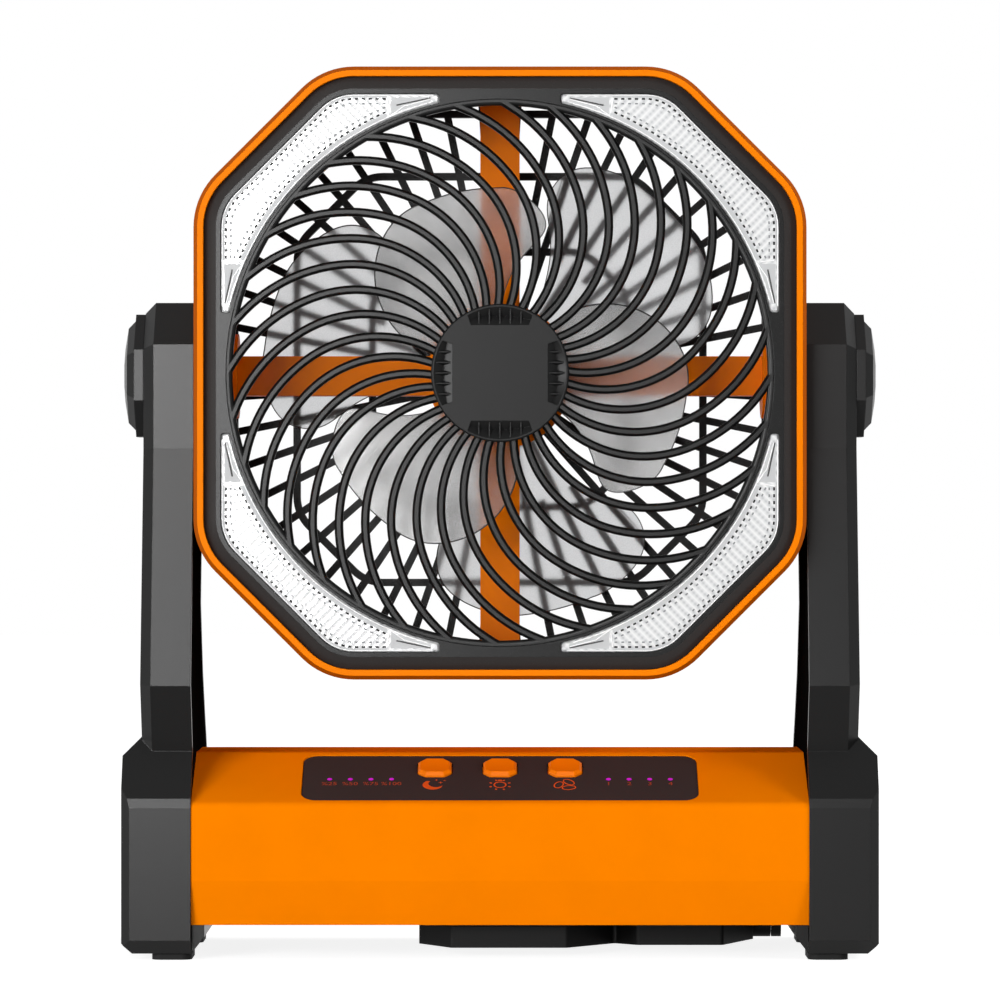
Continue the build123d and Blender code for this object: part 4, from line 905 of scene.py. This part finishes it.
piece("lamp_bands", band_mesh, "head", painted_band_shade)

# ---- Front guard ----
# Black ABS, moulded in one piece: swirled spokes between two rings, with bevelled edges that
# each catch a soft line of light.
guard_abs = moulded("guard_abs", "#0e0e0e", 0.33, 0.4, 0.004, specular=0.12, edge=0.3)
dress(guard_abs, "front_guard")

# ---- Hub cap ----
# Dark grey satin ABS disc pressed into the guard, with four ribbed grooves. It mirrors the light
# evenly.
hub_abs = moulded("hub_abs", "#1a1a1a", 0.34, 0.4, 0.004, specular=0.06, edge=0.25)
dress(hub_abs, "hub_cap")


# ---- Blades ----
# Polypropylene, translucent. The front rotor is smoky, the larger rear one is clear and frosted
# by its mould. Their cut edges are painted darker, painted shade for the eye looking through the
# whole blade there.
def translucent(name, colour, painted_edge_shade, roughness, grain, depth, share, index):
    """A see-through plastic with a frosted skin, grain mm wide and depth mm deep, and painted
    shade, darker, where a face stands on edge; share of the light passes, bent by index."""
    material, tree, shader, coords = new_finish(name)
    frost = add_node(
        tree,
        "ShaderNodeTexNoise",
        {"Vector": coords["Object"], "Scale": 1000 / grain, "Detail": 3.0},
    )
    facing = add_node(tree, "ShaderNodeSeparateXYZ", {0: coords["Normal"]})
    upright = add_node(
        tree, "ShaderNodeMath", {0: facing.outputs["Y"]}, operation="ABSOLUTE"
    )
    # Painted shade where a face stands on edge.
    edge = add_node(
        tree,
        "ShaderNodeMapRange",
        {
            "Value": upright.outputs[0],
            "From Min": 0.08,
            "From Max": 0.3,
            "To Min": 1.0,
            "To Max": 0.0,
        },
    )
    speckle = add_node(
        tree,
        "ShaderNodeMapRange",
        {
            "Value": frost.outputs["Fac"],
            "From Min": 0.3,
            "From Max": 0.7,
            "To Min": 0.88,
            "To Max": 1.12,
        },
    )
    base = add_node(
        tree,
        "ShaderNodeMix",
        {"Factor": edge.outputs[0], 6: linear(colour), 7: linear(painted_edge_shade)},
        data_type="RGBA",
    )
    shade = add_node(
        tree,
        "ShaderNodeVectorMath",
        {0: base.outputs[2], "Scale": speckle.outputs[0]},
        operation="SCALE",
    )
    relief = add_node(
        tree, "ShaderNodeBump", {"Height": frost.outputs["Fac"], "Distance": depth / 1000}
    )
    tree.links.new(shade.outputs[0], shader.inputs["Base Color"])
    tree.links.new(relief.outputs[0], shader.inputs["Normal"])
    shader.inputs["Roughness"].default_value = roughness
    shader.inputs["Transmission Weight"].default_value = share
    shader.inputs["IOR"].default_value = index
    shader.inputs["Specular IOR Level"].default_value = 0.3
    return material


smoky_pp = translucent(
    "smoky_polypropylene", "#dedede", "#3a3a3a", 0.27, 0.35, 0.01, share=0.85, index=1.49
)
dress(smoky_pp, "front_blades")
# The index is set low, which keeps the softbox's glare on the rear blades faint.
frosted_pp = translucent(
    "frosted_polypropylene", "#d6d7d8", "#4a4a4a", 0.3, 0.4, 0.004, share=0.95, index=1.18
)
dress(frosted_pp, "rear_blades")

# The rims of the blades, where the light is caught inside them, are fine dark lines of painted
# shade.
painted_shade_blade_rim = moulded("painted_shade_blade_rim", "#343434", 0.4, 0.3, 0.001, specular=0.2, edge=0.05)
hub_reach = 0.0204  # the hub's own edges, within this radius, get no line
least_bend = 0.7  # radians, of the edges that get one
for end, slot in (("front", "smoky_plastic"), ("rear", "frosted_plastic")):
    shape = bmesh.new()
    shape.from_mesh(nodes[f"{end}_blades"].data)
    bmesh.ops.remove_doubles(shape, verts=shape.verts, dist=1e-06)
    hub = [v for v in shape.verts if hypot(v.co.x, v.co.z - tilt_height / 1000) < hub_reach]
    bmesh.ops.delete(shape, geom=hub, context="VERTS")
    rim_mesh = bpy.data.meshes.new(f"{end}_blade_shape")
    shape.to_mesh(rim_mesh)
    shape.free()
    rims = baked(
        bead,
        rim_mesh,
        {"Radius": 0.00017, "Least Angle": least_bend, "Material": painted_shade_blade_rim},
        f"{end}_blade_rims",
    )
    piece(f"{end}_blade_rims", rims, f"{end}_rotor")

# ---- Motors ----
# Each motor is a glass-filled base, two ball bearings, a dull lacquered stack of laminations and
# a drawn steel can that carries the blades.
dress(tray_abs, "front_motor_base", "rear_motor_base")
dress(drawn_steel, "front_bearings", "rear_bearings", "front_rotor_can", "rear_rotor_can")
lamination = plated("lamination", "#6b5f55", 0.45, 0.5)
dress(lamination, "front_stator", "rear_stator")

# ---- Rear grille ----
# Deep black ABS, moulded in one piece: 48 radial bars crossed by three rounded octagons. Four
# screws hold it to the rear shell.
grille_abs = moulded("grille_abs", "#070707", 0.4, 0.5, 0.006, specular=0.1)
dress(grille_abs, "rear_grille")
crosses("grille_screw_recesses", "grille_screws", "head", 1, 1, cross_width)
